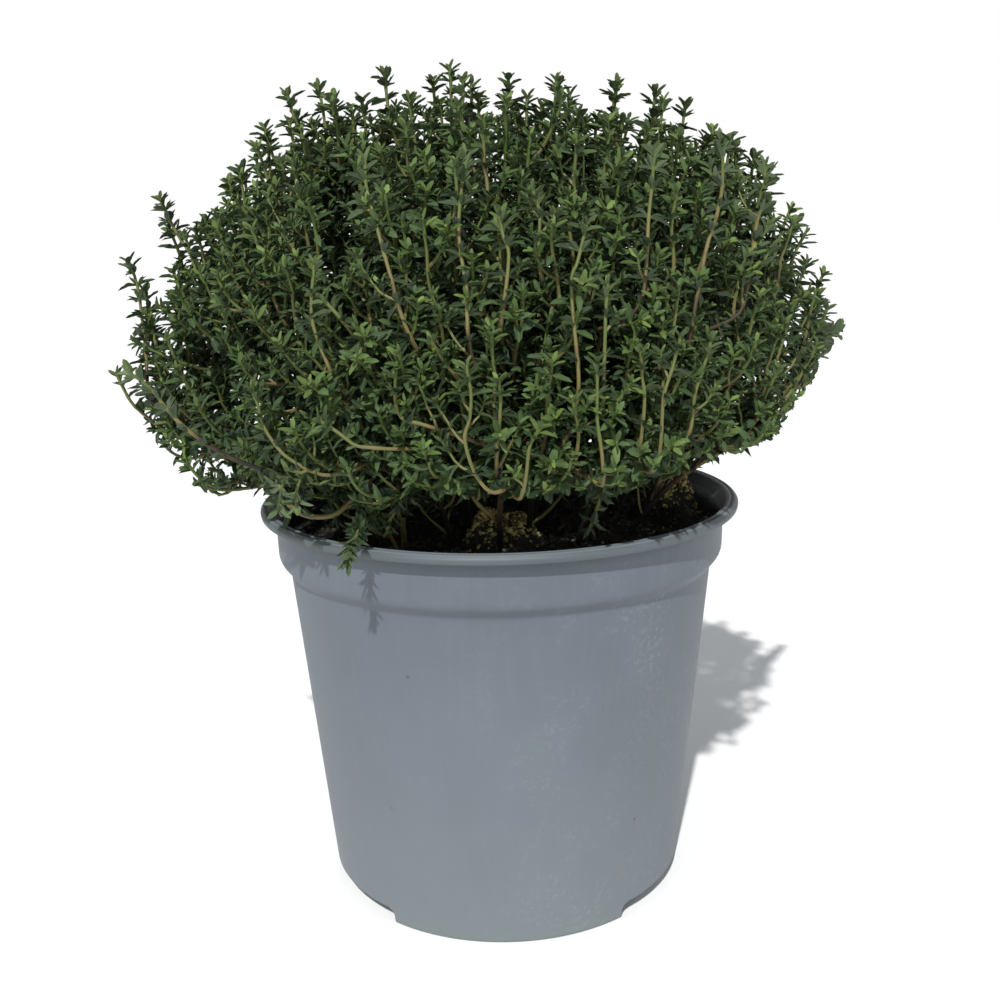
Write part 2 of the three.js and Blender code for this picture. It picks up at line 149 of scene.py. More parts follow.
# Shoots that stand in front of the bush, from tip to base, with the gap between their leaf pairs.
FRONT_SHOOTS = [
    (7, [(-29.9, -53.5, 209), (-29.4, -59, 203.1), (-27, -65.5, 195.1), (-23.4, -71.5, 182.9),
         (-21.8, -74, 176.3)]),
    (7, [(-6.2, -59, 209.3), (-7.7, -70, 194.7), (-7.3, -73, 188.1), (-6.2, -76, 179.4),
         (-6.2, -78.5, 169.7)]),
    (6, [(1.5, -72, 195.6), (2.1, -73, 191.2), (3.4, -74.5, 186.8), (1.8, -76.5, 176)]),
    (8, [(21.1, -70.5, 193.6), (18.7, -74.5, 185), (17.2, -76, 180), (18.2, -79.5, 161.4),
         (17.9, -80, 154.8)]),
    (8, [(25.2, -76.5, 180.3), (24.7, -77.5, 174.4), (24.4, -78.5, 166.8), (23.7, -78.5, 154.4)]),
    (9, [(22.3, -82, 164.3), (22.3, -82, 158.3), (22.2, -82, 150.5), (23.4, -81, 142.3),
         (23.8, -79.5, 135)]),
    (7, [(39.4, -46.5, 210.2), (37.5, -56, 201.8), (35.8, -62.5, 193.8), (34.2, -69, 178.2)]),
    (8, [(61.6, -14.5, 214.3), (57.4, -39, 203.2), (53.7, -51, 194.6), (50.5, -57.5, 187.7),
         (46.5, -65.5, 173.2)]),
    (7, [(-40.9, -68, 186.1), (-42, -70, 176.5), (-41.5, -71, 170.9), (-38.5, -72.5, 163)]),
    (6, [(-39.1, -72.5, 178.2), (-35.1, -73.5, 173.7), (-32.7, -72.5, 170.4)]),
    (9, [(-21.9, -82, 164.8), (-22.3, -81.5, 161.5), (-22.6, -81, 155.8), (-21.4, -80.5, 151.6),
         (-17.5, -80.5, 150.2)]),
    (9, [(-6.6, -84.5, 163.7), (-5.7, -85, 157.1), (-6.3, -84.5, 151.5), (-7.5, -84, 147.6),
         (-6.4, -83.5, 142.3), (-4.2, -83, 137.5), (-1.6, -82.5, 134.6)]),
    (8, [(0.3, -85, 160.7), (0.7, -84.5, 156.9), (0.5, -84, 151.3), (-0.3, -82.5, 142.4)]),
    (9, [(10, -86, 150.3), (7.1, -85, 145.7), (6.3, -84, 139.8), (5.9, -82.5, 136.1)]),
    (8, [(32.3, -79.5, 165.2), (32.6, -79, 159.9), (33.2, -78.5, 154.2), (32.5, -77, 143.6)]),
    (7, [(41.9, -75, 168.3), (39.8, -76, 160.6), (37.7, -77, 153.9), (37.1, -75.5, 140.9)]),
    (8, [(49.6, -71, 167.1), (47.5, -72, 159.9), (45.8, -72, 154.2), (44.7, -72, 146)]),
    (7, [(16.7, -84.5, 155.9), (17.9, -83, 148.5), (17.8, -81, 142.4)]),
    (7, [(8.4, -85, 159), (10.6, -83, 156.5), (12.2, -81, 151.7)]),
    (6, [(41.9, -71, 179.3), (41.3, -70.5, 173.6), (40.6, -70, 167.9)]),
    (6, [(9.1, -67.5, 200.9), (10.6, -68.5, 195.4), (10, -70, 188.8)]),
    (7, [(-14.4, -82.5, 169.1), (-12.4, -81, 165.6), (-9.7, -80, 161.7)]),
    (7, [(72.9, -16, 207.5), (70.9, -25, 198.3), (65.1, -42, 190.9), (60.4, -54.5, 174.5)]),
    (8, [(-57.6, -68, 158.2), (-56, -68.5, 153.6), (-55.1, -68.5, 148.8), (-52.5, -69, 144.1),
         (-49.1, -69.5, 140.5)]),
    (7, [(-99.5, -24, 156.9), (-91.8, -31.5, 153.4), (-82, -48, 148.5), (-74.5, -56, 144.7),
         (-65.8, -63.5, 140.9), (-55.8, -70, 138.3)]),
    (7, [(-40.6, -78.5, 151.3), (-35.7, -79, 148.1), (-32.5, -78.5, 145.4), (-28.8, -78, 144.7)]),
    (4.5, [(23.1, -50, 116.5), (23.5, -51, 119.2), (24.4, -53, 122.7), (25.2, -55, 126.3),
         (25.3, -60, 130.7)]),
    (4.5, [(-27.9, -58, 120), (-27.4, -57, 122.3), (-25.9, -56, 124.6), (-24.3, -56, 127.1)]),
    (4.4, [(-55, -57, 125.5), (-54.5, -58, 128), (-53.5, -60, 131), (-52, -61, 134)]),
    (4.4, [(-49, -65, 128), (-49, -65, 130), (-48.5, -65, 133), (-47, -64, 136)]),
]

# Upright shoots that fill the rest of the bush's surface, and shorter ones inside it. Reaches are
# shares of the way out to its outline.
RISER_COUNT = 350
RISER_LEAN_MAX = math.radians(104)
RISER_REACH = (0.88, 0.985)
RISER_CROWN_REACH = 0.045
INNER_COUNT = 280
INNER_REACH = (0.5, 0.84)
INNER_LOWEST = 132
INNER_HALF_WIDTH = 58

# The lower edge of the bush as it is seen from the front: places across, and the height at each.
SKIRT_ACROSS = (
    -112, -109, -103, -99, -92, -87.5, -77, -70.5, -65.5, -59.5, -48, -36, -24, -15, -9, 0, 9, 18, 25, 33,
    39, 45, 51, 57, 63, 71.5, 77.5, 83, 87.5, 93, 97, 102)
SKIRT_HEIGHT = (
    154, 144.5, 135, 127, 121.5, 118, 117.5, 117, 116.5, 115, 113.5, 109, 108.5, 110, 113, 114.5, 112.5,
    110, 107, 112.5, 115, 117, 118.5, 121, 123, 125, 128, 131, 140, 150, 156, 163)
SKIRT_UNEVENNESS = 4
SKIRT_WAVE = 7
# In front, the bush's underside also rises outwards over the rim. Behind, only a slope bounds it.
UNDERCUT_FRONT = -20
UNDERCUT_HALF_WIDTH = 56
UNDERCUT_START = 62
UNDERCUT_SLOPE = 0.8
BACK_START = 25
BACK_SLOPE = 0.45
# Room to keep from the soil and the lip, and below a twig for its leaves.
TWIG_CLEARANCE = 1.5
HANGING_ROOM = 2
SHARE_WITH_ROOM = 0.6
# How a stem that would hang too low is raised: at most so many times, each by this much at its tip.
RAISE_TRIES = 20
RAISE_LIFT = 1.2
RAISE_DRAW_IN = 0.006
RAISE_CURVE = 1.4
SHORTEST_STEM = 10
ROUTE_POINTS = 41

# The pale runner at the left, from its root to its tip.
RUNNER_ROUTE = [(-27, -22, 98), (-26, -38, 116), (-29, -49, 125), (-36, -51, 126.5), (-42, -53, 123),
                (-50, -52, 123.4), (-57, -44, 126.4), (-60, -34, 127.5)]

# Twigs that are thicker than this have rounder tubes. All are cut into steps, and swell at each node.
THICK_TWIG = 0.5
TWIG_STEP = 1.35
NODE_SWELLING = 0.22
NODE_HALF_LENGTH = 0.7
# Kinds of twig: radii and growth at the base and the tip, the gap between leaf nodes, the share of it
# below the lowest node, how often a leaf has a tuft in its axil, and how large and broad leaves are.
# Growth goes from 0, old wood, to 1, fresh green.
STEM = {"radii": (0.95, 0.42), "gap": 5.0, "lowest": 0.2, "tuft": 0.5}
STEM_TIP_GROWTH = 0.95
MAIN_SHOOT = {"radii": (0.6, 0.34), "ages": (0.45, 1.0), "gap": 4.8, "lowest": 0.08, "tuft": 0.5}
SIDE_SHOOT = {"radii": (0.38, 0.24), "ages": (0.6, 1.0), "gap": 4.0, "lowest": 0.15, "tuft": 0.25,
              "step": 2.2, "wobble": 0.25}
OUTLINE_SHOOT = {"radii": (0.6, 0.4), "ages": (0.3, 0.95), "lowest": 0.12, "tuft": 1.0, "scale": 1.12,
                 "broad": 1.3}
RISER = {"radii": (0.6, 0.36), "ages": (0.25, 1.0), "lowest": 0.12, "tuft": 0.7}
INNER_SHOOT = {"radii": (0.45, 0.3), "ages": (0.3, 0.9), "gap": 3.6, "lowest": 0.1, "tuft": 0.9,
               "step": 2.4}
FRONT_SHOOT = {"radii": (0.58, 0.38), "ages": (0.25, 0.92), "lowest": 0.1, "tuft": 1.0, "scale": 1.05,
               "wobble": 0.15}
RUNNER = {"radii": (0.85, 0.6), "ages": (0.54, 0.64), "gap": 6.0, "lowest": 0.3, "tuft": 1.0,
          "scale": 1.15, "wobble": 0.3, "given": True}
SPRIG = {"radii": (0.6, 0.4), "ages": (0.5, 0.85), "gap": 2.1, "lowest": 0.36, "tuft": 1.0, "scale": 1.15,
         "broad": 0.8, "closed": True}
SPRIG_POINTS = 37
# Side shoots: from how far up a stem and a shoot they start, up to where, how far apart, how long, and
# how far out they may reach. Past the flanks' start only a share of them grows.
SIDE_START = (0.16, 0.25)
SIDE_END = 0.85
SIDE_GAP = 4.5
SIDE_LONGEST = 27
SIDE_REACH = (0.88, 0.96)
FLANK_START = 68
FLANK_SHARE = 0.4

# Leaves.
LEAF_LENGTH = 4.8
LEAF_WIDTH_SHARE = 0.34
LEAF_THICKNESS = 0.38
LEAF_FOLD = 0.3
# Outlines of a leaf: places along it from its foot, and how broad it is at each, as shares. The
# second is plainer, for leaves behind the surface and for the smallest.
LEAF_SHAPES = [([0.0, 0.4, 0.83], [0.22, 1.0, 0.67]), ([0.0, 0.6], [0.34, 1.0])]
# By the distance below a twig's tip: how large its leaves are, how many degrees they lean from
# square to the twig towards its tip, how fresh their green is, and how much broader they are.
GROWN_BELOW = ((0, 1.2, 3, 5), (0.5, 0.78, 0.95, 1.0))
RISE_BELOW = ((0, 1.2, 3, 8, 16, 28), (60, 44, 32, 18, 8, -2))
FRESH_BELOW = ((0, 4, 12, 45), (1.0, 0.72, 0.42, 0.12))
BROAD_BELOW = ((2, 14), (1.15, 1.0))
# Leaves are less fresh again inside the bush, by how far out they are as a share of its outline.
FRESH_INSIDE = ((0.5, 0.95), (0.3, 1.0))
SPRIG_RISE = 73
# Shares of leaves that have dropped off, and that have dried below this height.
LEAF_DROPPED = 0.1
LEAF_DRY = 0.07
DRY_HEIGHT = 130
# A leaf takes the first outline this near to its twig's tip and this far out in the bush.
FULL_LEAF_BELOW = 32
FULL_LEAF_DEPTH = 0.78

# Sunlight with slightly soft shadows: where it comes from, its strength and its width.
SUN_DIRECTION = (-0.11, -0.68, 0.72)
SUN_ENERGY = 3.85
SUN_ANGLE = math.radians(1.3)
FLOOR_RADIUS = 20


def unit(vector):
    return vector / np.linalg.norm(vector)


# ---------------------------------------------------------------- materials


def linear(code):
    """An sRGB hex colour as the linear colour that shaders take."""
    parts = [int(code[i:i + 2], 16) / 255 for i in (1, 3, 5)]
    return tuple(p / 12.92 if p <= 0.04045 else ((p + 0.055) / 1.055) ** 2.4 for p in parts) + (1,)


def add(tree, kind, inputs=None, stops=(), **settings):
    """Adds a node with its settings, the colour stops of a ramp, and inputs that are values or the
    outputs of other nodes. It gives the node's first output that is in use."""
    made = tree.nodes.new("ShaderNode" + kind)
    for name, value in settings.items():
        setattr(made, name, value)
    for i, (position, code) in enumerate(stops):
        elements = made.color_ramp.elements
        element = elements[i] if i < 2 else elements.new(position)
        element.position = position
        element.color = linear(code)
    for name, value in (inputs or {}).items():
        socket = made.inputs[name] if isinstance(name, int) else next(
            found for found in made.inputs if found.name == name and found.enabled)
        if isinstance(value, bpy.types.NodeSocket):
            tree.links.new(value, socket)
        else:
            socket.default_value = value
    return next(found for found in made.outputs if found.enabled)


def new_material(name, roughness, specular=0.5):
    """A material with its tree, its shader and its place on the piece."""
    material = bpy.data.materials.new(name)
    material.use_nodes = True
    tree = material.node_tree
    shader = tree.nodes["Principled BSDF"]
    shader.inputs["Roughness"].default_value = roughness
    shader.inputs["Specular IOR Level"].default_value = specular
    return material, tree, shader, add(tree, "TexCoord").node.outputs["Object"]


def per_mm(size):
    """Noise scale whose features are about this many millimetres."""
    return 1 / (size * MM)


def polypropylene():
    """Injection-moulded polypropylene, blue-grey: a soft, uneven sheen and pale water marks, with painted
    light and shade low down, on the lip, under it and inside it.
    """
    material, tree, shader, place = new_material("moulded_polypropylene", 0.45)
    # Places in millimetres: across, up, and out from the pot's axis.
    spot = add(tree, "VectorMath", {0: place, 3: 1 / MM}, operation="SCALE")
    across, _, height = add(tree, "SeparateXYZ", {"Vector": spot}).node.outputs
    level = add(tree, "VectorMath", {0: spot, 1: (1.0, 1.0, 0.0)}, operation="MULTIPLY")
    radius = add(tree, "VectorMath", {0: level}, operation="LENGTH")
    # Patterns: clouds of tone, the upright streaks that moulding leaves, drops, splashes and grit.
    drawn = add(tree, "Mapping", {"Vector": place, "Scale": (1.0, 1.0, 0.06)})
    clouds, streaks, drops, splashes, grit = [
        add(tree, "TexNoise", {"Vector": vector, "Scale": per_mm(size), "Detail": detail,
                               "Roughness": rough})
        for vector, size, detail, rough in [
            (place, 38, 3.0, 0.55), (drawn, 2.2, 2.0, 0.5), (place, 1.5, 2.0, 0.6),
            (place, 19, 3.0, 0.65), (place, 1.1, 2.0, 0.5)]]
    grains = add(tree, "TexVoronoi", {"Vector": place, "Scale": per_mm(11), "Randomness": 1.0})
    colour = add(tree, "ValToRGB", {"Fac": clouds}, [(0.3, "#545c63"), (0.5, "#59616a"), (0.7, "#5d666d")])
    # Layers over that: a colour, and the ranges whose product covers it. A range is a value, where it
    # starts and ends, and the least and the most that it covers there.
    for shade, *ranges in [
            ("#626b72", (streaks, 0.45, 0.75, 0, 0.22)),
            # Paler low down: painted light, standing in for light bounced up from the floor.
            ("#70777b", (height, 100, 5, 0, 0.55)),
            # Dried splashes of hard water: pale, broken marks, most of them on the right.
            ("#a9b0b3", (drops, 0.52, 0.66, 0, 1), (across, -15, 30, 0.2, 1),
             (splashes, 0.42, 0.66, 0, 0.12)),
            # A few grains of peat stuck on.
            ("#33353a", (grains, 0.05, 0.025, 0, 0.7)),
            # Algae and dirt at the edge it stands on; inside, dark algae and soil with painted shade; under
            # the lip, painted shadow.
            ("#6b756a", (height, 5, 0, 0, 0.4)),
            # Dark inner wall above the soil: partly algae and soil stuck on, partly painted shade.
            ("#24302f", (radius, 64.9, 64.3, 0, 0.9), (height, 101, 101.5, 0, 1)),
            # Dark inner slope of the lip: partly algae and soil, partly painted shade.
            ("#24302f", (radius, 66.8, 66.3, 0, 0.9), (height, 112.6, 113.1, 0, 1)),
            # Painted shadow under the lip; above it the same layer darkens the lip and the inside a little,
            # as painted shade.
            ("#3a4144", (height, 110, 111.8, 0, 0.3)),
            # The lip: greener and darker at the left, from green-grey dirt and painted leaf shade; painted
            # shade covers all of it lightly.
            ("#454f4a", (across, -22, -50, 0.25, 0.65), (height, 112.6, 113.6, 0, 1)),
            # Painted light: the lip's top is painted paler, as if more light fell on it from above.
            ("#8d979c", (height, 115.5, 115.7, 0, 0.25))]:
        cover = 1.0
        for value, start_at, end_at, least, most in ranges:
            share = add(tree, "MapRange", {"Value": value, "From Min": start_at, "From Max": end_at,
                                           "To Min": least, "To Max": most})
            cover = add(tree, "Math", {0: cover, 1: share}, operation="MULTIPLY")
        colour = add(tree, "Mix", {"Factor": cover, "A": colour, "B": linear(shade)}, data_type="RGBA")
    tree.links.new(colour, shader.inputs["Base Color"])
    gloss = add(tree, "MapRange", {"Value": clouds, "From Min": 0.3, "From Max": 0.7, "To Min": 0.5,
                                   "To Max": 0.62})
    tree.links.new(gloss, shader.inputs["Roughness"])
    bumps = add(tree, "Bump", {"Height": grit, "Strength": 0.04, "Distance": 0.0003})
    tree.links.new(bumps, shader.inputs["Normal"])
    return material


def peat(name, shades, wetness):
    """Damp milled peat: nearly black, with browner fibres and dull, broken highlights."""
    material, tree, shader, place = new_material(name, 0.9, 0.3)
    grain = add(tree, "TexNoise", {"Vector": place, "Scale": per_mm(1.6), "Detail": 5.0, "Roughness": 0.7})
    colour = add(tree, "ValToRGB", {"Fac": grain}, shades)
    tree.links.new(colour, shader.inputs["Base Color"])
    shine = add(tree, "MapRange", {"Value": grain, "From Min": 0.35, "From Max": 0.65, "To Min": wetness,
                                   "To Max": 0.95})
    tree.links.new(shine, shader.inputs["Roughness"])
    rough = add(tree, "Bump", {"Height": grain, "Strength": 0.7, "Distance": 0.0006})
    tree.links.new(rough, shader.inputs["Normal"])
    return material


def leaf_surface():
    """Thyme leaf: leathery and faintly waxy above, greyer and downy below, with a pale midrib."""
    material, tree, shader, place = new_material("thyme_leaf", 0.5, 0.2)
    growth = add(tree, "Attribute", attribute_name="growth")
    youth, tone, dryness = add(tree, "SeparateColor", {"Color": growth}).node.outputs
    colour = add(tree, "ValToRGB", {"Fac": youth},
                 [(0.0, "#1a261b"), (0.35, "#2d4129"), (0.7, "#4b6139"), (1.0, "#6d8240")])
    darker = add(tree, "Mix", {"Factor": 1.0, "A": colour, "B": linear("#8f9d92")}, data_type="RGBA",
                 blend_type="MULTIPLY")
    colour = add(tree, "Mix", {"Factor": tone, "A": darker, "B": colour}, data_type="RGBA")
    # The map holds the top in its left half and the underside in its right half, each with the
    # midrib down its middle.
    across, along, _ = add(tree, "SeparateXYZ", {"Vector": add(tree, "UVMap", uv_map="leaf")}).node.outputs
    below = add(tree, "Math", {0: across, 1: 0.5}, operation="GREATER_THAN")
    middle = add(tree, "Math", {0: across, 1: 0.25}, operation="PINGPONG")
    mottle = add(tree, "TexNoise", {"Vector": place, "Scale": per_mm(2.5), "Detail": 2.0})
    # Layers over the green: the paler underside, the rib, the foot, dark mottling and what has dried.
    for value, start_at, end_at, most, shade in [
            (below, 0, 1, 0.4, "#5f6b55"), (middle, 0.2, 0.24, 0.25, "#6f7f48"),
            (along, 0.2, 0, 0.65, "#77823c"), (mottle, 0.35, 0.7, 0.3, "#1f2a1d"),
            (dryness, 0, 1, 1, "#57483a")]:
        cover = add(tree, "MapRange", {"Value": value, "From Min": start_at, "From Max": end_at,
                                       "To Max": most})
        colour = add(tree, "Mix", {"Factor": cover, "A": colour, "B": linear(shade)}, data_type="RGBA")
    tree.links.new(colour, shader.inputs["Base Color"])
    sheen = add(tree, "MapRange", {"Value": mottle, "From Min": 0.3, "From Max": 0.7, "To Min": 0.54,
                                   "To Max": 0.7})
    tree.links.new(sheen, shader.inputs["Roughness"])
    return material


def twig_surface():
    """Thyme stem: brown and woody where it is old, tan and then fresh green towards the tip. Its oldest,
    lowest wood is nearly black: partly its own dark brown, partly painted shade.
    """
    material, tree, shader, place = new_material("thyme_stem", 0.6, 0.35)
    age = add(tree, "Attribute", attribute_name="growth").node.outputs["Fac"]
    wander = add(tree, "TexNoise", {"Vector": place, "Scale": per_mm(7), "Detail": 3.0})
    wander = add(tree, "MapRange", {"Value": wander, "From Min": 0.3, "From Max": 0.7, "To Min": -0.12,
                                    "To Max": 0.12})
    age = add(tree, "Math", {0: age, 1: wander}, operation="ADD", use_clamp=True)
    # The two first stops, nearly black, are partly the old wood's dark brown and partly painted shade low
    # in the bush.
    colour = add(tree, "ValToRGB", {"Fac": age}, [(0.0, "#0e0c09"), (0.25, "#130f0b"), (0.42, "#3d321e"),
                                                  (0.58, "#6e643e"), (0.82, "#586132"), (1.0, "#4b5f2c")])
    tree.links.new(colour, shader.inputs["Base Color"])
    return material


# ---------------------------------------------------------------- modelling helpers


def start():
    """Deselects everything, so that the next operator acts only on its own piece."""
    bpy.ops.object.select_all(action="DESELECT")


def pick(piece):
    """Selects one piece and nothing else."""
    start()
    piece.select_set(True)
    bpy.context.view_layer.objects.active = piece


def open_mesh(choice="SELECT"):
    """Goes to edit mode with all of the mesh selected, or none of it."""
    bpy.ops.object.mode_set(mode="EDIT")
    bpy.ops.mesh.select_all(action=choice)


def close_mesh():
    """Turns the faces outwards and leaves edit mode."""
    bpy.ops.mesh.select_all(action="SELECT")
    bpy.ops.mesh.normals_make_consistent(inside=False)
    bpy.ops.object.mode_set(mode="OBJECT")


def linked(name, data):
    """A new object in the scene."""
    made = bpy.data.objects.new(name, data)
    bpy.context.collection.objects.link(made)
    return made


def finish_piece(piece, name, slot, material, *nodes, angle=None):
    """Puts a finished piece at the origin, and says what it is."""
    pick(piece)
    bpy.ops.object.transform_apply(location=True, rotation=True, scale=True)
    if angle is not None:
        bpy.ops.object.shade_smooth_by_angle(angle=math.radians(angle))
    piece.name = name
    piece.data.name = name
    piece.data.materials.append(material)
    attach(piece, "root")
    if nodes:
        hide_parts(*nodes)


def joined(pieces):
    """Joins pieces into the first of them."""
    pick(pieces[0])
    for piece in pieces[1:]:
        piece.select_set(True)
    if len(pieces) > 1:
        bpy.ops.object.join()
    return pieces[0]


def pull_ring(outline, segments, fill):
    """A ring, open or filled, that is extruded along an outline of (radius, height) points. It is left
    in edit mode, with its last edge selected."""
    start()
    bpy.ops.mesh.primitive_circle_add(
        vertices=segments, radius=outline[0][0] * MM, fill_type=fill, location=(0, 0, outline[0][1] * MM))
    open_mesh("DESELECT")
    bpy.ops.mesh.select_non_manifold()
    for (radius, height), (next_radius, next_height) in zip(outline, outline[1:]):
        bpy.ops.mesh.extrude_region_move(
            TRANSFORM_OT_translate={"value": (0, 0, (next_height - height) * MM)})
        share = next_radius / radius
        bpy.ops.transform.resize(value=(share, share, 1))
    return bpy.context.object


def rounded(outline):
    """Replaces each (radius, height, round) corner by a curve that starts and ends that far from it."""
    made = []
    for i, (radius, height, reach) in enumerate(outline):
        corner = np.array([radius, height], float)
        if not reach or i in (0, len(outline) - 1):
            made.append(tuple(corner))
            continue
        before = np.array(outline[i - 1][:2], float) - corner
        after = np.array(outline[i + 1][:2], float) - corner
        start_at = corner + before * min(reach / np.linalg.norm(before), 0.5)
        end_at = corner + after * min(reach / np.linalg.norm(after), 0.5)
        for t in np.linspace(0, 1, CORNER_STEPS + 1):
            made.append(tuple((1 - t) ** 2 * start_at + 2 * t * (1 - t) * corner + t * t * end_at))
    return made


def boolean_cut(piece, cutter):
    """Cuts one object out of another and deletes the cutter."""
    modifier = piece.modifiers.new("cut", "BOOLEAN")
    modifier.operation = "DIFFERENCE"
    modifier.solver = "EXACT"
    modifier.object = cutter
    pick(piece)
    bpy.ops.object.modifier_apply(modifier=modifier.name)
    bpy.data.objects.remove(cutter)


# ---------------------------------------------------------------- pot


def round_axis(radius, turn, height):
    """A place round the pot's axis, in metres."""
    return radius * math.cos(turn) * MM, radius * math.sin(turn) * MM, height * MM


def body_inner_radius(height):
    share = (height - FOOT_HEIGHT) / (BODY_TOP - FOOT_HEIGHT)
    return BODY_FOOT_RADIUS + (BODY_TOP_RADIUS - BODY_FOOT_RADIUS) * share - WALL


def make_pot(material):
    """One wall spun as a ring that is pulled up the outside, over the lip and down the inside."""
    inner_foot = FOOT_RADIUS - FOOT_THICKNESS
    outline = rounded([
        (2, FOOT_HEIGHT, 0),
        (inner_foot, FOOT_HEIGHT, 0.4),
        (inner_foot + 0.2, 0, 0.4),
        (FOOT_RADIUS, 0, 0.9),
        (BODY_FOOT_RADIUS - 0.1, FOOT_HEIGHT + 0.2, 2.0),
        (BODY_TOP_RADIUS, BODY_TOP + 0.2, 0.9),
        (BAND_RADIUS, BAND_BOTTOM + 1.0, 1.5),
        (BAND_RADIUS + 0.3, LIP_BOTTOM + 0.7, 0.4),
        (RIM_RADIUS - 0.3, LIP_BOTTOM + 1.2, 0.4),
        (RIM_RADIUS, POT_HEIGHT - LIP_ROUND, 0.5),
        (RIM_RADIUS - 0.8, POT_HEIGHT - 0.15, 0.6),
        (RIM_RADIUS - 1.5, POT_HEIGHT - 0.05, 0.2),
        (RIM_RADIUS - 1.8, POT_HEIGHT - 0.25, 0.15),
        (RIM_RADIUS - 2.3, POT_HEIGHT - 0.25, 0.15),
        (RIM_RADIUS - 2.6, POT_HEIGHT - 0.05, 0.2),
        (RIM_RADIUS - LIP_WIDTH, POT_HEIGHT - 0.2, 0.4),
        (BAND_RADIUS - WALL, LIP_BOTTOM - 1.5, 1.0),
        (BAND_RADIUS - WALL - 0.2, BAND_BOTTOM + 1.2, 0.8),
        (BODY_TOP_RADIUS - WALL, BODY_TOP + 0.8, 0.8),
        (body_inner_radius(FLOOR_TOP), FLOOR_TOP, 1.0),
        (2, FLOOR_TOP, 0),
    ])
    pot = pull_ring(outline, POT_SEGMENTS, "NOTHING")
    bpy.ops.mesh.select_all(action="DESELECT")
    bpy.ops.mesh.select_non_manifold()
    bpy.ops.mesh.fill_holes(sides=0)
    close_mesh()
    for i in range(NOTCH_COUNT):
        boolean_cut(pot, notch_cutter(-math.pi / 2 + (i + 0.5) * 2 * math.pi / NOTCH_COUNT))
    for i in range(DRAIN_COUNT):
        start()
        bpy.ops.mesh.primitive_cylinder_add(
            vertices=32, radius=DRAIN_RADIUS * MM, depth=4 * WALL * MM,
            location=round_axis(DRAIN_CIRCLE_RADIUS, (i + 0.5) * 2 * math.pi / DRAIN_COUNT,
                                FOOT_HEIGHT + WALL / 2))
        boolean_cut(pot, bpy.context.object)
    finish_piece(pot, "nursery_pot", "pot_plastic", material, "pot", angle=32)


def notch_cutter(turn):
    """A block with rounded upper corners, set across the foot ring."""
    half = FOOT_RADIUS * math.sin(NOTCH_ANGLE / 2)
    middle = FOOT_RADIUS * math.cos(NOTCH_ANGLE / 2) - 3 * FOOT_THICKNESS + NOTCH_REACH / 2
    height = FOOT_HEIGHT + 4
    start()
    bpy.ops.mesh.primitive_cube_add(size=1)
    block = bpy.context.object
    block.scale = (NOTCH_REACH * MM, 2 * half * MM, height * MM)
    block.location = round_axis(middle, turn, FOOT_HEIGHT - height / 2)
    block.rotation_euler = (0, 0, turn)
    bpy.ops.object.transform_apply(location=False, rotation=False, scale=True)
    open_mesh("DESELECT")
    bpy.ops.mesh.select_mode(type="EDGE")
    bpy.ops.object.mode_set(mode="OBJECT")
    for edge in block.data.edges:
        first, last = (block.data.vertices[i].co for i in edge.vertices)
        is_upper = first.z > 0 and last.z > 0
        edge.select = is_upper and abs(first.x - last.x) > NOTCH_REACH * MM / 2
    bpy.ops.object.mode_set(mode="EDIT")
    bpy.ops.mesh.bevel(offset=NOTCH_ROUND * MM, segments=5)
    bpy.ops.object.mode_set(mode="OBJECT")
    return block


# ---------------------------------------------------------------- soil


def heaped(height, x, y, heaps, steepness):
    """A height with what lies heaped there."""
    for heap_x, heap_y, rise, spread in heaps:
        height += rise * math.exp(-(math.hypot(x - heap_x, y - heap_y) / spread) ** steepness)
    return height


def soil_height(x, y):
    share = min(1, math.hypot(x, y) / BODY_TOP_RADIUS)
    wave = math.sin(2 * math.pi * x / SOIL_WAVE_X) * math.cos(2 * math.pi * y / SOIL_WAVE_Y)
    height = SOIL_EDGE_HEIGHT + SOIL_CROWN_RISE * (1 - share * share) + SOIL_RELIEF * wave
    return heaped(height, x, y, LUMPS, 2)


def soil_surface(x, y):
    """The soil's height with its crumbs, hollows and mounds."""
    rough = noise.fractal(Vector((x / 4.5, y / 4.5, 3.1)), 0.9, 2.1, 4)
    coarse = noise.noise(Vector((x / 11, y / 11, 8.7)))
    return heaped(soil_height(x, y) + 0.75 * rough + 0.9 * coarse, x, y, MOUNDS, 3)


def soil_spot(rng, reach):
    """A place anywhere on the soil but its very middle."""
    radius = reach * math.sqrt(rng.uniform(0.05, 1))
    turn = rng.uniform(0, 2 * math.pi)
    return radius * math.cos(turn), radius * math.sin(turn)


def make_soil(material):
    """A ring pulled up the pot's inside, then drawn in over the surface, which is roughened by height."""
    bottom = FLOOR_TOP + CLEARANCE
    edge_radius = BAND_RADIUS - WALL - 2 * CLEARANCE
    outline = [
        (body_inner_radius(bottom) - CLEARANCE, bottom),
        (BODY_TOP_RADIUS - WALL - CLEARANCE, BODY_TOP + 1.2),
        (edge_radius, BAND_BOTTOM + 2),
        (edge_radius, SOIL_EDGE_HEIGHT - 2),
    ]
    radius = edge_radius
    while radius > 1.5:
        outline.append((radius, SOIL_EDGE_HEIGHT))
        radius -= SOIL_RING_STEP
    soil = pull_ring(outline, SOIL_SEGMENTS, "NGON")
    bpy.ops.mesh.merge(type="CENTER")
    close_mesh()
    lift = bottom * MM
    for vertex in soil.data.vertices:
        if vertex.co.z + lift > (SOIL_EDGE_HEIGHT - 0.1) * MM:
            vertex.co.z = soil_surface(vertex.co.x / MM, vertex.co.y / MM) * MM - lift
    finish_piece(soil, "peat_soil", "peat", material, "soil", angle=60)


def read(items, name, width=1, kind=float):
    """One value of every item, as rows where it has more than one number."""
    flat = np.empty(len(items) * width, dtype=kind)
    items.foreach_get(name, flat)
    return flat.reshape(-1, width) if width > 1 else flat


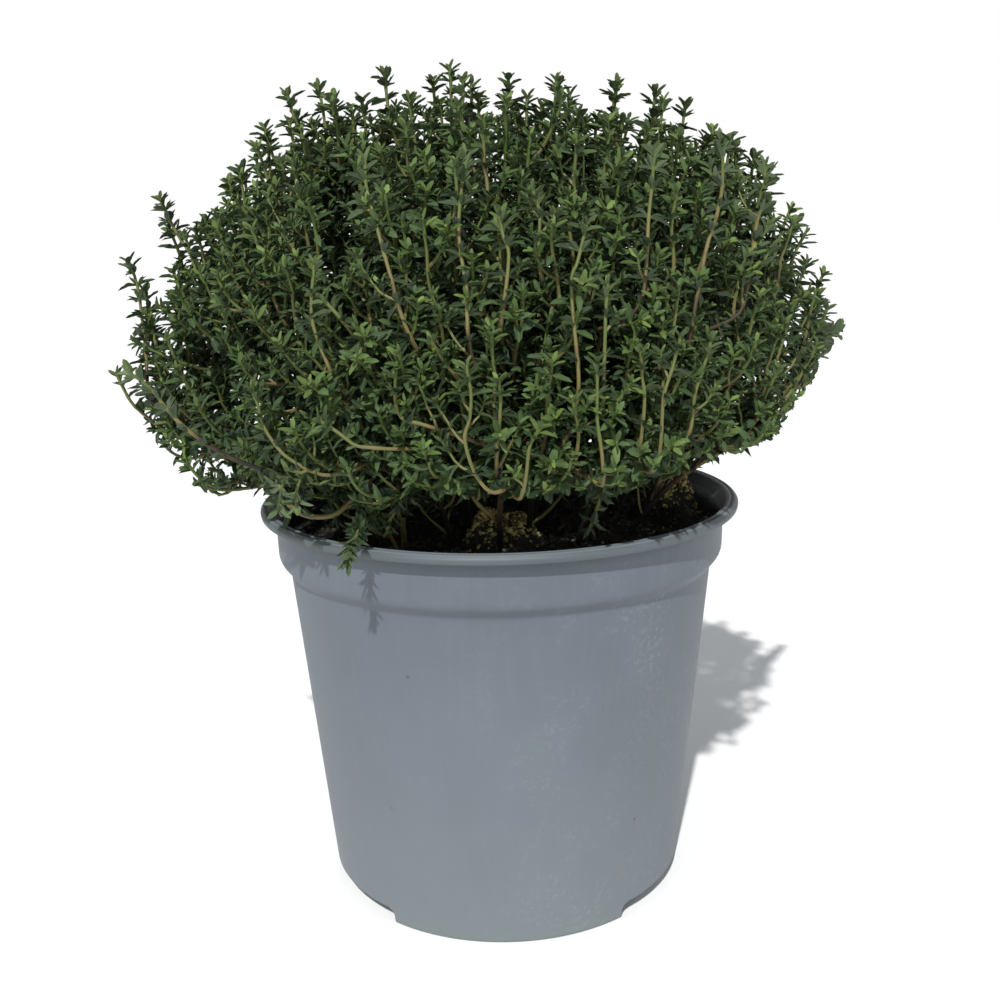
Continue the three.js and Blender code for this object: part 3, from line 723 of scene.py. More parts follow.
def joined_copies(name, base, placed):
    """Joins copies of a base mesh, each with its own corner positions, into one mesh."""
    count, size = placed.shape[:2]
    loops = read(base.loops, "vertex_index", kind=np.int64)
    loops = (loops[None] + size * np.arange(count)[:, None]).ravel()
    totals = np.tile(read(base.polygons, "loop_total", kind=np.int64), count)
    mesh = bpy.data.meshes.new(name)
    mesh.vertices.add(count * size)
    mesh.vertices.foreach_set("co", placed.ravel())
    mesh.loops.add(len(loops))
    mesh.loops.foreach_set("vertex_index", loops)
    mesh.polygons.add(len(totals))
    mesh.polygons.foreach_set("loop_start", np.cumsum(totals) - totals)
    mesh.update(calc_edges=True)
    for layer in base.uv_layers:
        copied = mesh.uv_layers.new(name=layer.name)
        copied.data.foreach_set("uv", np.tile(read(layer.data, "uv", 2), (count, 1)).ravel())
    mesh.validate()
    return linked(name, mesh)


def make_crumb_base():
    """A rough grain with few faces."""
    start()
    bpy.ops.mesh.primitive_ico_sphere_add(subdivisions=1, radius=1)
    grain = bpy.context.object
    open_mesh()
    bpy.ops.transform.vertex_random(offset=0.35, seed=4)
    bpy.ops.object.mode_set(mode="OBJECT")
    return grain


def scatter_crumbs(rng, name, grain, count, sizes, material, heaps):
    """Grains that lie half sunk in the soil, on the heaps given or else all over it."""
    places = []
    while len(places) < count:
        if heaps:
            x, y, _, spread = rng.choice(heaps)
            x += rng.gauss(0, spread * 0.6)
            y += rng.gauss(0, spread * 0.6)
        else:
            x, y = soil_spot(rng, BAND_RADIUS - 3)
        if math.hypot(x, y) > BAND_RADIUS - WALL - 1.5:
            continue
        size = rng.uniform(*sizes) * rng.uniform(0.5, 1)
        turned = Matrix.Rotation(rng.uniform(0, 6.28), 4, "Z") @ Matrix.Rotation(rng.uniform(0, 3), 4, "X")
        shape = Matrix.Diagonal((size, size * rng.uniform(0.6, 1), size * rng.uniform(0.5, 0.9), 1))
        place = Matrix.Translation((x, y, soil_surface(x, y) + 0.25 * size))
        places.append(Matrix.Scale(MM, 4) @ place @ turned @ shape)
    corners = np.c_[read(grain.data.vertices, "co", 3), np.ones(len(grain.data.vertices))]
    placed = np.einsum("nij,vj->nvi", np.asarray(places), corners)[:, :, :3]
    finish_piece(joined_copies(name, grain.data, placed), name, "peat", material)


def make_fibres(rng, material):
    """Loose peat fibres and bark shreds that lie on the surface."""
    lines = []
    for _ in range(FIBRE_COUNT):
        x, y = soil_spot(rng, BAND_RADIUS - 6)
        heading, bend = rng.uniform(0, 2 * math.pi), rng.uniform(-0.5, 0.5)
        step = rng.uniform(0.8, 2.2)
        points = []
        for i in range(5):
            if math.hypot(x, y) > BAND_RADIUS - WALL - 1.2:
                break
            points.append((x, y, soil_surface(x, y) + 0.25 + 0.5 * (i in (1, 2))))
            x, y = x + step * math.cos(heading), y + step * math.sin(heading)
            heading += bend
        if len(points) > 2:
            thick = rng.uniform(0.09, 0.2)
            radii = [thick, *[thick * 1.2] * (len(points) - 2), thick * 0.5]
            lines.append((points, radii, [0.3] * len(points)))
    finish_piece(tubes("peat_fibres", lines, sides=0), "peat_fibres", "peat", material)


# ---------------------------------------------------------------- twigs


def tubes(name, lines, sides=1):
    """One mesh of tubes along lines of (points, radii, growth), with growth kept as an attribute."""
    data = bpy.data.curves.new(name, "CURVE")
    data.dimensions = "3D"
    data.bevel_depth = 1 * MM
    data.bevel_resolution = sides
    data.use_fill_caps = True
    marks = []
    for points, radii, ages in lines:
        spline = data.splines.new("POLY")
        spline.points.add(len(points) - 1)
        spline.use_smooth = True
        for point, place, radius, age in zip(spline.points, np.asarray(points, float) * MM, radii, ages):
            point.co = (*place, 1)
            point.radius = radius
            marks.append((place, age))
    pick(linked(name, data))
    bpy.ops.object.convert(target="MESH")
    piece = bpy.context.object
    mesh = piece.data
    tree = KDTree(len(marks))
    for i, (place, _) in enumerate(marks):
        tree.insert(place, i)
    tree.balance()
    attribute = mesh.attributes.new("growth", "FLOAT", "POINT")
    attribute.data.foreach_set("value", [marks[tree.find(vertex.co)[1]][1] for vertex in mesh.vertices])
    return piece


# Random draws in the same order as the solids', so that the routes come out the same.
route_seed = 23


def draw(low, high):
    global route_seed
    route_seed = (route_seed * 1664525 + 1013904223) % 4294967296
    return low + (high - low) * route_seed / 4294967296


def bezier(corners, shares):
    """Points on a Bezier curve at these shares of its parameter."""
    shares = np.asarray(shares, float)[:, None]
    rows = [np.repeat(np.asarray(corner, float)[None], len(shares), 0) for corner in corners]
    while len(rows) > 1:
        rows = [first + (second - first) * shares for first, second in zip(rows, rows[1:])]
    return rows[0]


def along_curve(corners, count):
    """Evenly spaced points on a Bezier curve, and its length."""
    shares = np.linspace(0, 1, CURVE_DIVISIONS + 1)
    gaps = np.linalg.norm(np.diff(bezier(corners, shares), axis=0), axis=1)
    lengths = np.concatenate([[0], np.cumsum(gaps)])
    even = np.interp(np.linspace(0, lengths[-1], count + 1), lengths, shares)
    return bezier(corners, even), lengths[-1]


def dome_point(turn, lean, reach):
    """The point at this turn and lean from upright, so far out as a share of the bush's outline."""
    across = reach * math.sin(lean) ** DOME_SQUARENESS
    rise = reach * math.copysign(abs(math.cos(lean)) ** DOME_SQUARENESS, math.cos(lean))
    return in_dome(turn, across, rise)


def in_dome(turn, across, rise):
    """A point in the bush, by shares of its half width and of its rise."""
    return np.array([DOME_HALF_WIDTH * across * math.cos(turn), DOME_HALF_DEPTH * across * math.sin(turn),
                     DOME_CENTRE_HEIGHT + DOME_RISE * rise])


def even_lean(share, most):
    """Leans up to the most, spread so that equal shares cover equal areas of a sphere."""
    return math.acos(1 - share * (1 - math.cos(most)))


def stem_corners(number):
    """Route of a stem of the dome, counted from the middle of the crown outwards."""
    share = (number + 0.5) / STEM_COUNT
    spread = math.sqrt(share)
    turn = number * GOLDEN_ANGLE
    out = np.array([math.cos(turn), math.sin(turn), 0])
    lean = even_lean(share, LEAN_MAX) + draw(-LEAN_JITTER, LEAN_JITTER)
    tip = dome_point(turn, lean, draw(REACH_LEAST, 1))
    root = out * ROOT_DISC_RADIUS * spread
    root[2] = soil_height(root[0], root[1]) - ROOT_DEPTH
    launch = unit(UP + out * LAUNCH_SPREAD * spread)
    rise = ENDING_RISE + ENDING_RISE_UPRIGHT * math.cos(lean)
    ending = unit(UP * rise + out * ENDING_SPREAD * math.sin(lean))
    handle = np.linalg.norm(tip - root) * HANDLE_SHARE
    return [root, root + launch * handle, tip - ending * handle, tip]


def shoot_corners(corners, number, first_turn):
    """Route of a side shoot, which leaves its stem at an angle and bends back beside it."""
    points, length = along_curve(corners, STEM_STEPS)
    place = (FIRST_SHOOT_SHARE + NEXT_SHOOT_SHARE * number + draw(-SHOOT_SHARE_JITTER, SHOOT_SHARE_JITTER))
    place *= STEM_STEPS
    step = int(place)
    point = points[step] + (points[step + 1] - points[step]) * (place - step)
    along = unit(points[step + 1] - points[step])
    turn = first_turn + number * 2 * math.pi / SHOOTS_PER_STEM + draw(-SHOOT_TURN_JITTER, SHOOT_TURN_JITTER)
    level = unit(np.cross(along, UP))
    away = level * math.cos(turn) + np.cross(level, along) * math.sin(turn)
    if point[2] < LOW_SHOOT_HEIGHT:
        away[2] = abs(away[2])
    offset = draw(*SHOOT_OFFSET)
    reach = length * draw(*SHOOT_LENGTH_SHARE)
    bend = point + along * reach * SHOOT_BEND_ALONG + away * offset * SHOOT_BEND_AWAY
    tip = point + along * reach + away * offset
    fine, _ = along_curve(corners, CURVE_DIVISIONS)
    nearest = fine[np.argmin(np.linalg.norm(fine - point, axis=1))]
    return [nearest, bend, tip]


def lay_out_plants():
    """Every plant's name, main stem and side shoots, on the routes of the solids."""
    plants = []
    for i in range(STEM_COUNT):
        name, corners = NAMED_STEMS.get(i, (f"stem_{i + 1:02d}", None))
        plants.append({"name": name, "is_named": corners is not None,
                       "stem": [np.array(c, float) for c in corners] if corners else stem_corners(i)})
    for plant in plants:
        first_turn = draw(0, 2 * math.pi)
        count = NAMED_STEM_SHOOTS if plant["is_named"] else SHOOTS_PER_STEM
        plant["shoots"] = [shoot_corners(plant["stem"], i, first_turn) for i in range(count)]
    return plants


def dome_reach(point):
    """How far out a point is, as a share of the bush's outline in that direction."""
    across = math.hypot(point[0] / DOME_HALF_WIDTH, point[1] / DOME_HALF_DEPTH)
    rise = abs(point[2] - DOME_CENTRE_HEIGHT) / DOME_RISE
    power = 2 / DOME_SQUARENESS
    return (across ** power + rise ** power) ** (1 / power)


def is_clear(point):
    """Whether a point is above the soil and clear of the lip."""
    radius = math.hypot(point[0], point[1])
    if radius < BAND_RADIUS - 1:
        return point[2] > soil_height(point[0], point[1]) + TWIG_CLEARANCE
    return radius > RIM_RADIUS + TWIG_CLEARANCE or point[2] > POT_HEIGHT + 1


def is_free(point):
    """Whether a point is clear, and not below the bush's lower edge."""
    x, y, z = point
    if y < BACK_START:
        nearness = VIEW_DISTANCE / (VIEW_DISTANCE + y)
        seen = VIEW_HEIGHT - (VIEW_HEIGHT - z) * nearness
        uneven = SKIRT_UNEVENNESS * noise.noise(Vector((x / SKIRT_WAVE, y / SKIRT_WAVE, 0)))
        if seen < np.interp(x * nearness, SKIRT_ACROSS, SKIRT_HEIGHT) + uneven:
            return False
        is_over_soil = y < UNDERCUT_FRONT and abs(x) < UNDERCUT_HALF_WIDTH
        if is_over_soil and z < POT_HEIGHT + 2 + UNDERCUT_SLOPE * (math.hypot(x, y) - UNDERCUT_START):
            return False
    elif z < POT_HEIGHT + 4 + BACK_SLOPE * (math.hypot(x, y) - RIM_RADIUS):
        return False
    return is_clear(point)


def raised(route):
    """The route of a stem, raised at its tip where it would hang below the bush, or else cut short."""
    pull = np.linspace(0, 1, len(route))[:, None] ** RAISE_CURVE
    for _ in range(RAISE_TRIES):
        low = [i for i, point in enumerate(route) if math.hypot(point[0], point[1]) > RIM_RADIUS - 4
               and not is_free(point - UP * HANGING_ROOM)]
        if not low:
            return route
        drawn_in = np.array([RAISE_DRAW_IN, RAISE_DRAW_IN, 0])
        route = route * (1 - pull * drawn_in) + pull * UP * RAISE_LIFT
    return route[:max(SHORTEST_STEM, low[0])]


def free_route(*corners):
    """A curve that stays above the bush's lower edge, or nothing where there is no room for one."""
    corners = [np.asarray(corner, float) for corner in corners]
    for _ in range(7):
        route = bezier_route(*corners)
        if all(is_free(point) for point in route if math.hypot(point[0], point[1]) > ROOT_DISC_RADIUS + 14):
            return route
        corners[1:-1] = [corner + UP * 3 for corner in corners[1:-1]]
    return None


def has_room(twig):
    """Whether most of a shoot's leaves would be above the bush's lower edge."""
    free = sum(is_free(twig.at(at)[0] - UP * HANGING_ROOM) for at in twig.nodes)
    return free > SHARE_WITH_ROOM * len(twig.nodes)


def between(at, marks, rows):
    """Rows of x, y and z at values between the marks of the rows given."""
    return np.stack([np.interp(at, marks, rows[:, k]) for k in range(3)], -1)


class Twig:
    """A stem or shoot: points along it, how thick and how grown it is there, and its leaf nodes. Leaves
    lie closed along the sprig. A twig with a given place may have leaves below the bush's edge."""

    def __init__(self, route, rng, radii, ages, gap, lowest, tuft, scale=1.0, broad=1.0, step=TWIG_STEP,
                 wobble=0.35, closed=False, given=False):
        self.radii, self.ages, self.tuft, self.scale, self.broad = radii, ages, tuft, scale, broad
        self.closed, self.given = closed, given
        route = np.asarray(route, float)
        lengths = np.concatenate([[0], np.cumsum(np.linalg.norm(np.diff(route, axis=0), axis=1))])
        self.length = lengths[-1]
        self.shares = np.linspace(0, 1, max(3, round(self.length / step)) + 1)
        self.points = between(self.shares * self.length, lengths, route)
        chord = unit(self.points[-1] - self.points[0])
        base = np.eye(3)[int(np.argmin(np.abs(chord)))]
        self.side = unit(base - chord * base.dot(chord))
        self.wander(rng, wobble)
        self.tangents = np.gradient(self.points, axis=0)
        self.tangents /= np.linalg.norm(self.tangents, axis=1)[:, None]
        self.place_nodes(rng, gap, lowest * self.length)

    def wander(self, rng, wobble):
        """Bends the twig a little off its route, except at its ends."""
        phase, waves = rng.uniform(0, 6.28), rng.uniform(1.2, 2.2)
        other = np.cross(self.side, unit(self.points[-1] - self.points[0]))
        lift = np.sin(self.shares * math.pi) * wobble
        self.points = self.points + np.outer(lift * np.sin(phase + self.shares * waves * 6.28), self.side)
        self.points += np.outer(lift * np.cos(phase * 1.7 + self.shares * waves * 5.1), other)

    def place_nodes(self, rng, gap, lowest):
        """Leaf nodes as lengths from the base: crowded at the tip and wider apart below it."""
        at, spacing, self.nodes = self.length - 0.4, 0.7, []
        while at > lowest:
            self.nodes.append(at)
            at -= spacing * rng.uniform(0.85, 1.15)
            spacing = min(gap, spacing * (1.5 if len(self.nodes) < 3 else 2.4))

    def at(self, distance):
        """The point at a distance from the base, and the way the twig runs there."""
        share = distance / self.length
        return between(share, self.shares, self.points), unit(between(share, self.shares, self.tangents))

    def line(self):
        """The points, radii and growth of its tube, a little thicker at each node."""
        distances = self.shares * self.length
        radii = self.radii[0] + (self.radii[1] - self.radii[0]) * self.shares
        for node in self.nodes:
            radii = radii * (1 + NODE_SWELLING * np.exp(-((distances - node) / NODE_HALF_LENGTH) ** 2))
        return self.points, radii, self.ages[0] + (self.ages[1] - self.ages[0]) * self.shares


def bezier_route(*corners):
    return bezier(corners, np.linspace(0, 1, ROUTE_POINTS))


def smooth_route(points):
    """A smooth curve through points, as many short steps."""
    points = np.asarray(points, float)
    padded = np.concatenate([[2 * points[0] - points[1]], points, [2 * points[-1] - points[-2]]])
    route = []
    for before, first, second, after in zip(padded, padded[1:], padded[2:], padded[3:]):
        corners = [first, first + (second - before) / 6, second - (after - first) / 6, second]
        route.extend(bezier(corners, np.linspace(0, 1, 9)[:-1]))
    return np.array([*route, points[-1]])


def side_shoot(parent, distance, turn, length, reach, rng):
    """A small shoot from a parent twig, turned up towards the light, and kept inside the bush."""
    point, along = parent.at(distance)
    side = unit(parent.side - along * parent.side.dot(along))
    away = side * math.cos(turn) + np.cross(along, side) * math.sin(turn)
    first = unit(along * 0.7 + away * 0.9)
    out = np.array([point[0], point[1], 0.0])
    out = out / max(np.linalg.norm(out), 1)
    last = unit(along * 0.5 + away * 0.35 + UP * 0.55 + out * 0.25)
    while length > 5:
        tip = point + first * length * 0.45 + last * length * 0.6
        middle = point + first * length * 0.5
        if dome_reach(tip) < reach and is_free(tip) and is_free(middle):
            return Twig(bezier_route(point, middle, tip), rng, **SIDE_SHOOT)
        length *= 0.8
    return None


def grow_twigs(plant, rng):
    """The twigs on a plant's own routes: its stem and its main shoots."""
    route = stem = bezier_route(*plant["stem"])
    if plant["name"] == "low_runner":
        twigs = [Twig(smooth_route(RUNNER_ROUTE), rng, **RUNNER)]
    elif plant["name"] == "rim_sprig":
        twigs = [Twig(route[:SPRIG_POINTS], rng, **SPRIG)]
    else:
        stem = raised(route)
        twigs = [Twig(stem, rng, ages=(0.0, STEM_TIP_GROWTH * len(stem) / len(route)), **STEM)]
    for corners in plant["shoots"]:
        foot = int(np.argmin(np.linalg.norm(route - corners[0], axis=1)))
        if foot < len(stem):
            shoot = bezier_route(*corners) + stem[foot] - route[foot]
            if not plant["is_named"]:
                shoot = raised(shoot)
            twig = Twig(shoot, rng, given=plant["is_named"], **MAIN_SHOOT)
            if plant["is_named"] or has_room(twig):
                twigs.append(twig)
    return twigs


def grow_side_shoots(plant, rng):
    """Small shoots that branch from the stem and the main shoots, and fill the bush inside."""
    made = []
    for order, parent in enumerate(plant["twigs"]):
        at, turn = parent.length * SIDE_START[order > 0], rng.uniform(0, 6.28)
        while at < parent.length * SIDE_END:
            length = min(SIDE_LONGEST, 6 + 0.5 * (parent.length - at)) * rng.uniform(0.5, 1)
            is_sparse = plant["is_named"] or abs(parent.at(at)[0][0]) > FLANK_START
            if rng.random() < (FLANK_SHARE if is_sparse else 1.0):
                shoot = side_shoot(parent, at, turn, length, rng.choice(SIDE_REACH), rng)
                if shoot:
                    made.append(shoot)
            turn += math.pi * 0.5 + rng.uniform(-0.5, 0.5) + math.pi * (rng.random() < 0.5)
            at += SIDE_GAP * rng.uniform(0.7, 1.2)
    plant["twigs"] += made


def best_parent(carriers, target, heading, reach):
    """Where a shoot that ends at the target, with this heading, leaves its stem: near the point that
    lies the reach below the target."""
    points, tangents, owners = carriers
    wanted = target - heading * reach
    distances = np.linalg.norm(target - points, axis=1)
    cost = np.linalg.norm(wanted - points, axis=1) + 8 * (1 - tangents @ heading)
    cost[(distances < 0.6 * reach) | (points[:, 2] > target[2] - 2)] += 1000
    best = int(np.argmin(cost))
    return owners[best], points[best], tangents[best], distances[best]


def shoot_to(carriers, target, heading, reach, rng, **growth):
    """A shoot that ends at the target, from the stem that is in the best place for it."""
    plant, point, along, distance = best_parent(carriers, target, heading, reach)
    route = free_route(point, point + along * distance * 0.3, target - heading * distance * 0.5, target)
    if route is not None:
        twig = Twig(route, rng, **growth)
        if has_room(twig):
            plant["twigs"].append(twig)


def list_carriers(plants):
    """Points and directions along every stem and main shoot, and which plant each belongs to."""
    points, tangents, owners = [], [], []
    for plant in plants:
        if plant["is_named"]:
            continue
        for twig in plant["twigs"]:
            keep = (twig.shares > 0.22) & (twig.shares < 0.9)
            points.append(twig.points[keep])
            tangents.append(twig.tangents[keep])
            owners += [plant] * int(keep.sum())
    return np.concatenate(points), np.concatenate(tangents), owners


def reach_outline(carriers, rng):
    """Shoots that end at the tips named above, each with two lower ones beside it."""
    for tip in OUTLINE_TIPS:
        for aside in (0, -1, 1):
            target = np.array(tip, float)
            if aside:
                is_flank = abs(tip[0]) > 75
                target += (aside * rng.uniform(4, 10), rng.uniform(0 if is_flank else -16, 16),
                           rng.uniform(-9, -2))
                target[0] -= math.copysign(6, tip[0]) * is_flank
            outwards = 0.2 if tip[2] > 145 else 0.9
            heading = unit(np.array([tip[0] * outwards, tip[1] * 0.2, 60.0]))
            if is_free(target):
                shoot_to(carriers, target, heading, rng.uniform(28, 40), rng,
                         gap=rng.uniform(3.2, 4.0), **OUTLINE_SHOOT)


def fill_surface(carriers, rng):
    """Upright shoots whose tips are spread evenly over the bush."""
    for i in range(RISER_COUNT):
        turn = i * GOLDEN_ANGLE + 1.1
        lean = even_lean((i + 0.5) / RISER_COUNT, RISER_LEAN_MAX)
        reach = rng.uniform(*RISER_REACH) + RISER_CROWN_REACH * max(0, math.cos(lean))
        target = dome_point(turn, lean, reach)
        if is_free(target):
            out = np.array([math.cos(turn), math.sin(turn), 0])
            outwards = out * rng.uniform(0.3, 0.5) * math.sin(lean)
            heading = unit(UP * (0.8 + 0.2 * math.cos(lean)) + outwards)
            shoot_to(carriers, target, heading, rng.uniform(26, 38), rng,
                     gap=rng.uniform(4.0, 6.0), **RISER)


def fill_inside(carriers, rng):
    """Shoots whose tips end inside the bush, so that it can't be seen through."""
    for i in range(INNER_COUNT):
        rise = 0.95 - (i + 0.5) / INNER_COUNT
        reach = rng.uniform(*INNER_REACH)
        target = in_dome(i * GOLDEN_ANGLE + 2.3, reach * math.sqrt(1 - rise * rise), reach * rise)
        if is_free(target) and target[2] > INNER_LOWEST and abs(target[0]) < INNER_HALF_WIDTH:
            shoot_to(carriers, target, unit(UP + 0.004 * target * (1, 1, 0)), 24, rng, **INNER_SHOOT)


def place_front_shoots(carriers, rng):
    """The shoots that stand out at the front, each joined to a stem behind and below its lowest point.
    Those with the closest leaves hang over the soil, below the bush's edge."""
    for gap, points in FRONT_SHOOTS:
        route = np.array(points[::-1], float)
        first = unit(route[1] - route[0])
        outwards = unit(np.array([route[0][0], route[0][1], 0.0]))
        plant, point, along, distance = best_parent(carriers, route[0], unit(first + outwards * 0.8), 20)
        joint = free_route(point, point + along * distance * 0.3, route[0] - first * distance * 0.45,
                           route[0])
        if joint is None:
            joint = free_route(point, point + UP * distance * 0.3, route[0])
        if joint is not None:
            route = np.array([*joint[:-5:8], *route])
        plant["twigs"].append(Twig(smooth_route(route), rng, gap=gap, given=gap < 5, **FRONT_SHOOT))


# ---------------------------------------------------------------- leaves


def make_leaf_base(shares, widths):
    """One leaf, one unit long: a flat lens, folded along its midrib, pulled out from its foot."""
    start()
    bpy.ops.mesh.primitive_circle_add(vertices=4, radius=0.5)
    leaf = bpy.context.object
    for vertex, (x, z) in zip(leaf.data.vertices, [(0.0, 0.5), (-0.5, 0.25), (0.0, -0.5), (0.5, 0.25)]):
        vertex.co = (x * widths[0], 0, z)
    open_mesh()
    for i in range(1, len(shares)):
        bpy.ops.mesh.extrude_region_move(
            TRANSFORM_OT_translate={"value": (0, shares[i] - shares[i - 1], 0)})
        bpy.ops.transform.resize(value=(widths[i] / widths[i - 1], 1, 1))
    bpy.ops.mesh.extrude_region_move(TRANSFORM_OT_translate={"value": (0, 1 - shares[-1], 0)})
    bpy.ops.mesh.merge(type="CENTER")
    bpy.ops.mesh.select_non_manifold()
    bpy.ops.mesh.fill_holes(sides=0)
    close_mesh()
    mesh = leaf.data
    layer = mesh.uv_layers.new(name="leaf")
    for face in mesh.polygons:
        is_top = face.normal.z > 0
        for loop in face.loop_indices:
            corner = mesh.vertices[mesh.loops[loop].vertex_index].co
            across = 0.25 + 0.25 * max(-1.0, min(1.0, corner.x * 2))
            layer.data[loop].uv = (across if is_top else 0.999 - across, corner.y)
    return leaf


def leaning(away, along, lean):
    """A leaf's direction and the normal of its face, for its lean from level towards the twig's tip."""
    return (unit(away * math.cos(lean) + along * math.sin(lean)),
            unit(along * math.cos(lean) - away * math.sin(lean)))


def leaf_rows(twig, rng):
    """Every leaf of a twig: its place, direction, face normal, length, width, bend, youth, tone and
    dryness, and which of the leaf shapes it takes."""
    rows = []
    clear = is_clear if twig.given else is_free
    size = LEAF_LENGTH * twig.scale
    turn = rng.uniform(0, math.pi)
    for at in twig.nodes:
        point, along = twig.at(at)
        side = unit(twig.side - along * twig.side.dot(along))
        other = np.cross(along, side)
        below = twig.length - at
        depth = dome_reach(point)
        shape = 0 if below < FULL_LEAF_BELOW and depth > FULL_LEAF_DEPTH else 1
        rise = math.radians(SPRIG_RISE if twig.closed else np.interp(below, *RISE_BELOW))
        fresh = float(np.interp(below, *FRESH_BELOW) * np.interp(depth, *FRESH_INSIDE))
        radius = twig.radii[1] + (twig.radii[0] - twig.radii[1]) * below / twig.length
        for flip in (0, math.pi):
            if below > 12 and rng.random() < LEAF_DROPPED:
                continue
            angle = turn + flip + rng.uniform(-0.3, 0.3)
            away = side * math.cos(angle) + other * math.sin(angle)
            ahead, face = leaning(away, along, rise + rng.uniform(-0.25, 0.25))
            face = unit(face + np.cross(ahead, face) * rng.uniform(-0.45, 0.45))
            length = size * float(np.interp(below, *GROWN_BELOW)) * rng.uniform(0.72, 1.12)
            foot = point + away * radius * 0.6
            if not (twig.closed or clear(foot + ahead * length) and clear(foot + ahead * length * 0.5)):
                continue
            is_dry = point[2] < DRY_HEIGHT and not twig.closed and rng.random() < LEAF_DRY
            bend = rng.uniform(-0.42, -0.1) if below > 2 else rng.uniform(-0.25, 0.0)
            broad = LEAF_WIDTH_SHARE * rng.uniform(0.85, 1.2) * float(np.interp(below, *BROAD_BELOW))
            broad *= twig.broad
            rows.append((foot, ahead, face, length, length * broad, bend, fresh * rng.uniform(0.8, 1.1),
                         rng.random(), 0.8 * is_dry, shape))
            # Young leaves in the axil, between the leaf and the stem.
            if below > 3 and rng.random() < twig.tuft:
                for _ in range(rng.choice((2, 3, 4)) if depth > 0.72 else 2):
                    swing = angle + rng.uniform(-1.1, 1.1)
                    near = side * math.cos(swing) + other * math.sin(swing)
                    ahead, face = leaning(near, along, math.radians(rng.uniform(14, 58)))
                    length = size * rng.uniform(0.45, 0.8)
                    if twig.closed or clear(foot + ahead * length):
                        width = length * (0.3 if twig.closed else 0.42)
                        rows.append((foot, ahead, face, length, width, rng.uniform(-0.35, 0.0),
                                     min(1.0, fresh + 0.08), rng.random(), 0.0, 1))
        turn += math.pi / 2 + rng.uniform(-0.15, 0.15)
    return rows


def place_leaves(name, base, rows):
    """Joins one plant's leaves: each is scaled, bent, turned and put in place."""
    place, ahead, face, length, width, bend, youth, tone, dryness = (
        np.array(column)[:, None] for column in list(zip(*rows))[:9])
    x, y, z = read(base.vertices, "co", 3).T[:, None]
    z = z * LEAF_THICKNESS + bend * length * y ** 2 + np.abs(x) * width * LEAF_FOLD
    moved = (place + np.cross(ahead, face) * (x * width)[..., None] + ahead * (y * length)[..., None]
             + face * z[..., None])
    piece = joined_copies(name, base, moved * MM)
    growth = np.hstack([np.clip(youth, 0, 1), tone, dryness, np.ones((len(rows), 1))])
    attribute = piece.data.attributes.new("growth", "FLOAT_COLOR", "POINT")
    attribute.data.foreach_set("color", np.repeat(growth, len(base.vertices), 0).ravel())
    return piece


def make_plants(leaf_material, twig_material):
    rng = random.Random(7)
    plants = lay_out_plants()
    for plant in plants:
        plant["twigs"] = grow_twigs(plant, rng)
    carriers = list_carriers(plants)
    for growing in (reach_outline, place_front_shoots, fill_surface, fill_inside):
        growing(carriers, rng)
    for plant in plants:
        grow_side_shoots(plant, rng)
    leaves = [make_leaf_base(*shape) for shape in LEAF_SHAPES]
    for plant in plants:
        name = plant["name"]
        lines = [[], []]
        for twig in plant["twigs"]:
            lines[twig.radii[0] > THICK_TWIG].append(twig.line())
        made = [tubes(name + ".twigs", lines[i], sides=i) for i in range(2) if lines[i]]
        finish_piece(joined(made), name + ".twigs", "thyme_stem", twig_material, name, angle=70)
        rows = [row for twig in plant["twigs"] for row in leaf_rows(twig, rng)]
        chosen = [[row for row in rows if row[9] == shape] for shape in range(len(leaves))]
        made = [place_leaves(name + ".leaves", leaf.data, some)
                for leaf, some in zip(leaves, chosen) if some]
        finish_piece(joined(made), name + ".leaves", "thyme_leaf", leaf_material, name, angle=55)
    for leaf in leaves:
        bpy.data.objects.remove(leaf)


# ---------------------------------------------------------------- studio


def make_camera():
    """Looks down a little at the pot, from the photograph's place."""
    forward = np.array([math.sin(CAMERA_YAW) * math.cos(CAMERA_PITCH),
                        math.cos(CAMERA_YAW) * math.cos(CAMERA_PITCH), -math.sin(CAMERA_PITCH)])
    right = unit(np.cross(forward, UP))
    top = np.cross(right, forward)
    turned_right = right * math.cos(CAMERA_ROLL) + top * math.sin(CAMERA_ROLL)
    turned_top = top * math.cos(CAMERA_ROLL) - right * math.sin(CAMERA_ROLL)
    data = bpy.data.cameras.new("camera")
    data.sensor_width = CAMERA_SENSOR
    data.lens = CAMERA_LENS
    data.clip_start, data.clip_end = 0.01, 100
    camera = linked("camera", data)
    camera.rotation_euler = Matrix(np.array([turned_right, turned_top, -forward]).T.tolist()).to_euler()
    camera.location = [c * MM for c in CAMERA_PLACE]
    bpy.context.scene.camera = camera


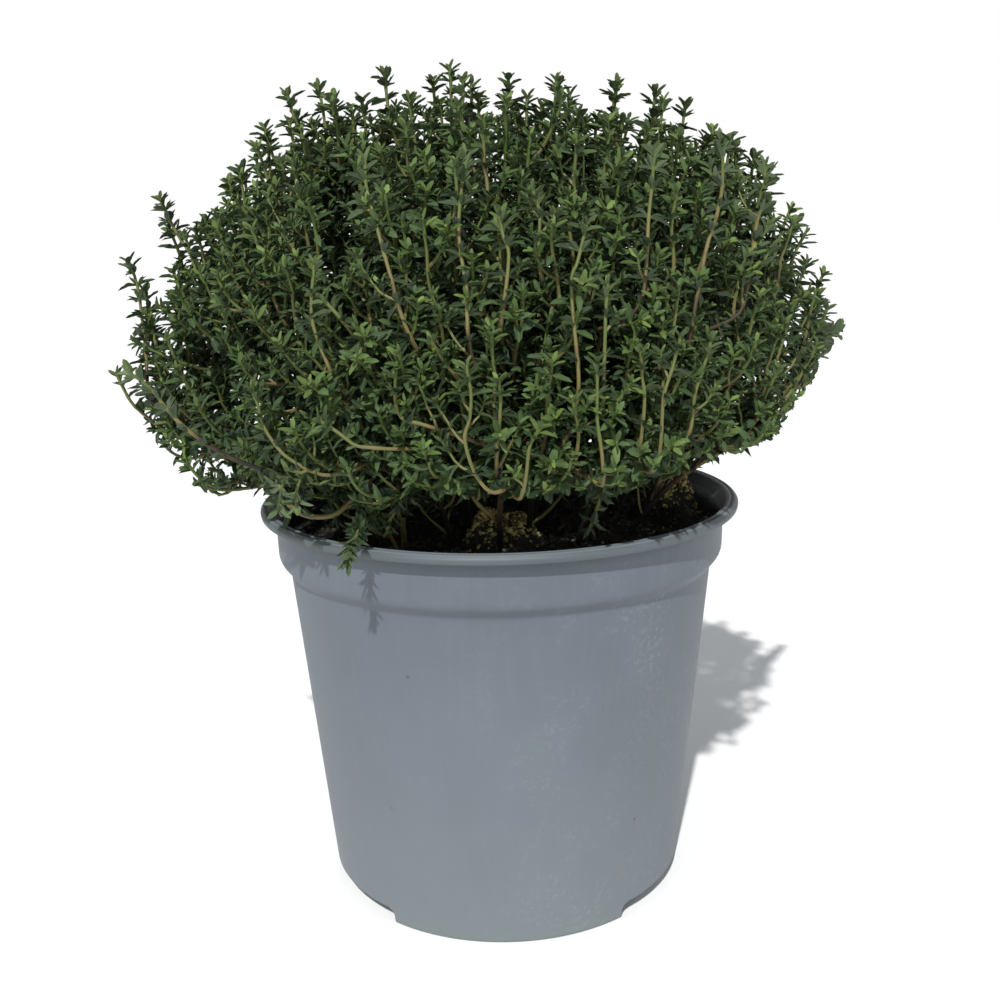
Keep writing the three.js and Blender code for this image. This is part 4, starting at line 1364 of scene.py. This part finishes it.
def make_studio():
    """A pale floor, one soft key light from the front left, and a bright, even surround."""
    start()
    bpy.ops.mesh.primitive_circle_add(vertices=96, radius=FLOOR_RADIUS, fill_type="NGON")
    floor = bpy.context.object
    floor.name = "studio_floor"
    material, tree, shader, place = new_material("studio_paper", 0.9, 0.2)
    tint = add(tree, "TexNoise", {"Vector": place, "Scale": 3.0})
    colour = add(tree, "ValToRGB", {"Fac": tint}, [(0.4, "#ebebea"), (0.6, "#eeeeed")])
    tree.links.new(colour, shader.inputs["Base Color"])
    floor.data.materials.append(material)
    key = bpy.data.lights.new("key", "SUN")
    key.angle = SUN_ANGLE
    key.energy = SUN_ENERGY
    lamp = linked("key", key)
    lamp.location = (0, 0, 1)
    lamp.rotation_euler = Vector(SUN_DIRECTION).to_track_quat("Z", "Y").to_euler()
    world = bpy.data.worlds.new("surround")
    bpy.context.scene.world = world
    world.use_nodes = True
    tree = world.node_tree
    way = add(tree, "TexCoord").node.outputs["Generated"]
    height = add(tree, "SeparateXYZ", {"Vector": way}).node.outputs["Z"]
    colour = add(tree, "ValToRGB", {"Fac": height}, [(0.22, "#ffffff"), (0.6, "#92979d")])
    tree.links.new(colour, tree.nodes["Background"].inputs["Color"])
    tree.nodes["Background"].inputs["Strength"].default_value = 1.0
    view = bpy.context.scene.view_settings
    view.view_transform = "Standard"
    view.look = "None"


make_camera()
make_studio()
make_pot(polypropylene())
make_soil(peat("milled_peat", [(0.3, "#0e0f0e"), (0.52, "#1d1e1b"), (0.72, "#3a382f")], 0.6))
soil_rng = random.Random(3)
crumb = make_crumb_base()
for piece_name, grain_count, grain_sizes, heaps_there, wet, material_name, *shades_there in [
        ("peat_crumbs", 3000, (0.35, 1.3), None, 0.65, "peat_crumb",
         (0.3, "#131312"), (0.5, "#292822"), (0.74, "#5b5547")),
        ("crust_crumbs", 1000, (0.45, 1.3), MOUNDS, 0.8, "lichen_crust",
         (0.35, "#1d1a12"), (0.46, "#665e37"), (0.6, "#c4b877")),
        ("lime_grains", 130, (0.35, 0.8), LIME_SPOTS, 0.8, "lime_grain",
         (0.3, "#4b463c"), (0.6, "#8b8676"))]:
    scatter_crumbs(soil_rng, piece_name, crumb, grain_count, grain_sizes,
                   peat(material_name, shades_there, wet), heaps_there)
bpy.data.objects.remove(crumb)
make_fibres(soil_rng, peat("peat_fibre", [(0.3, "#221c16"), (0.6, "#4d4335")], 0.7))
make_plants(leaf_surface(), twig_surface())
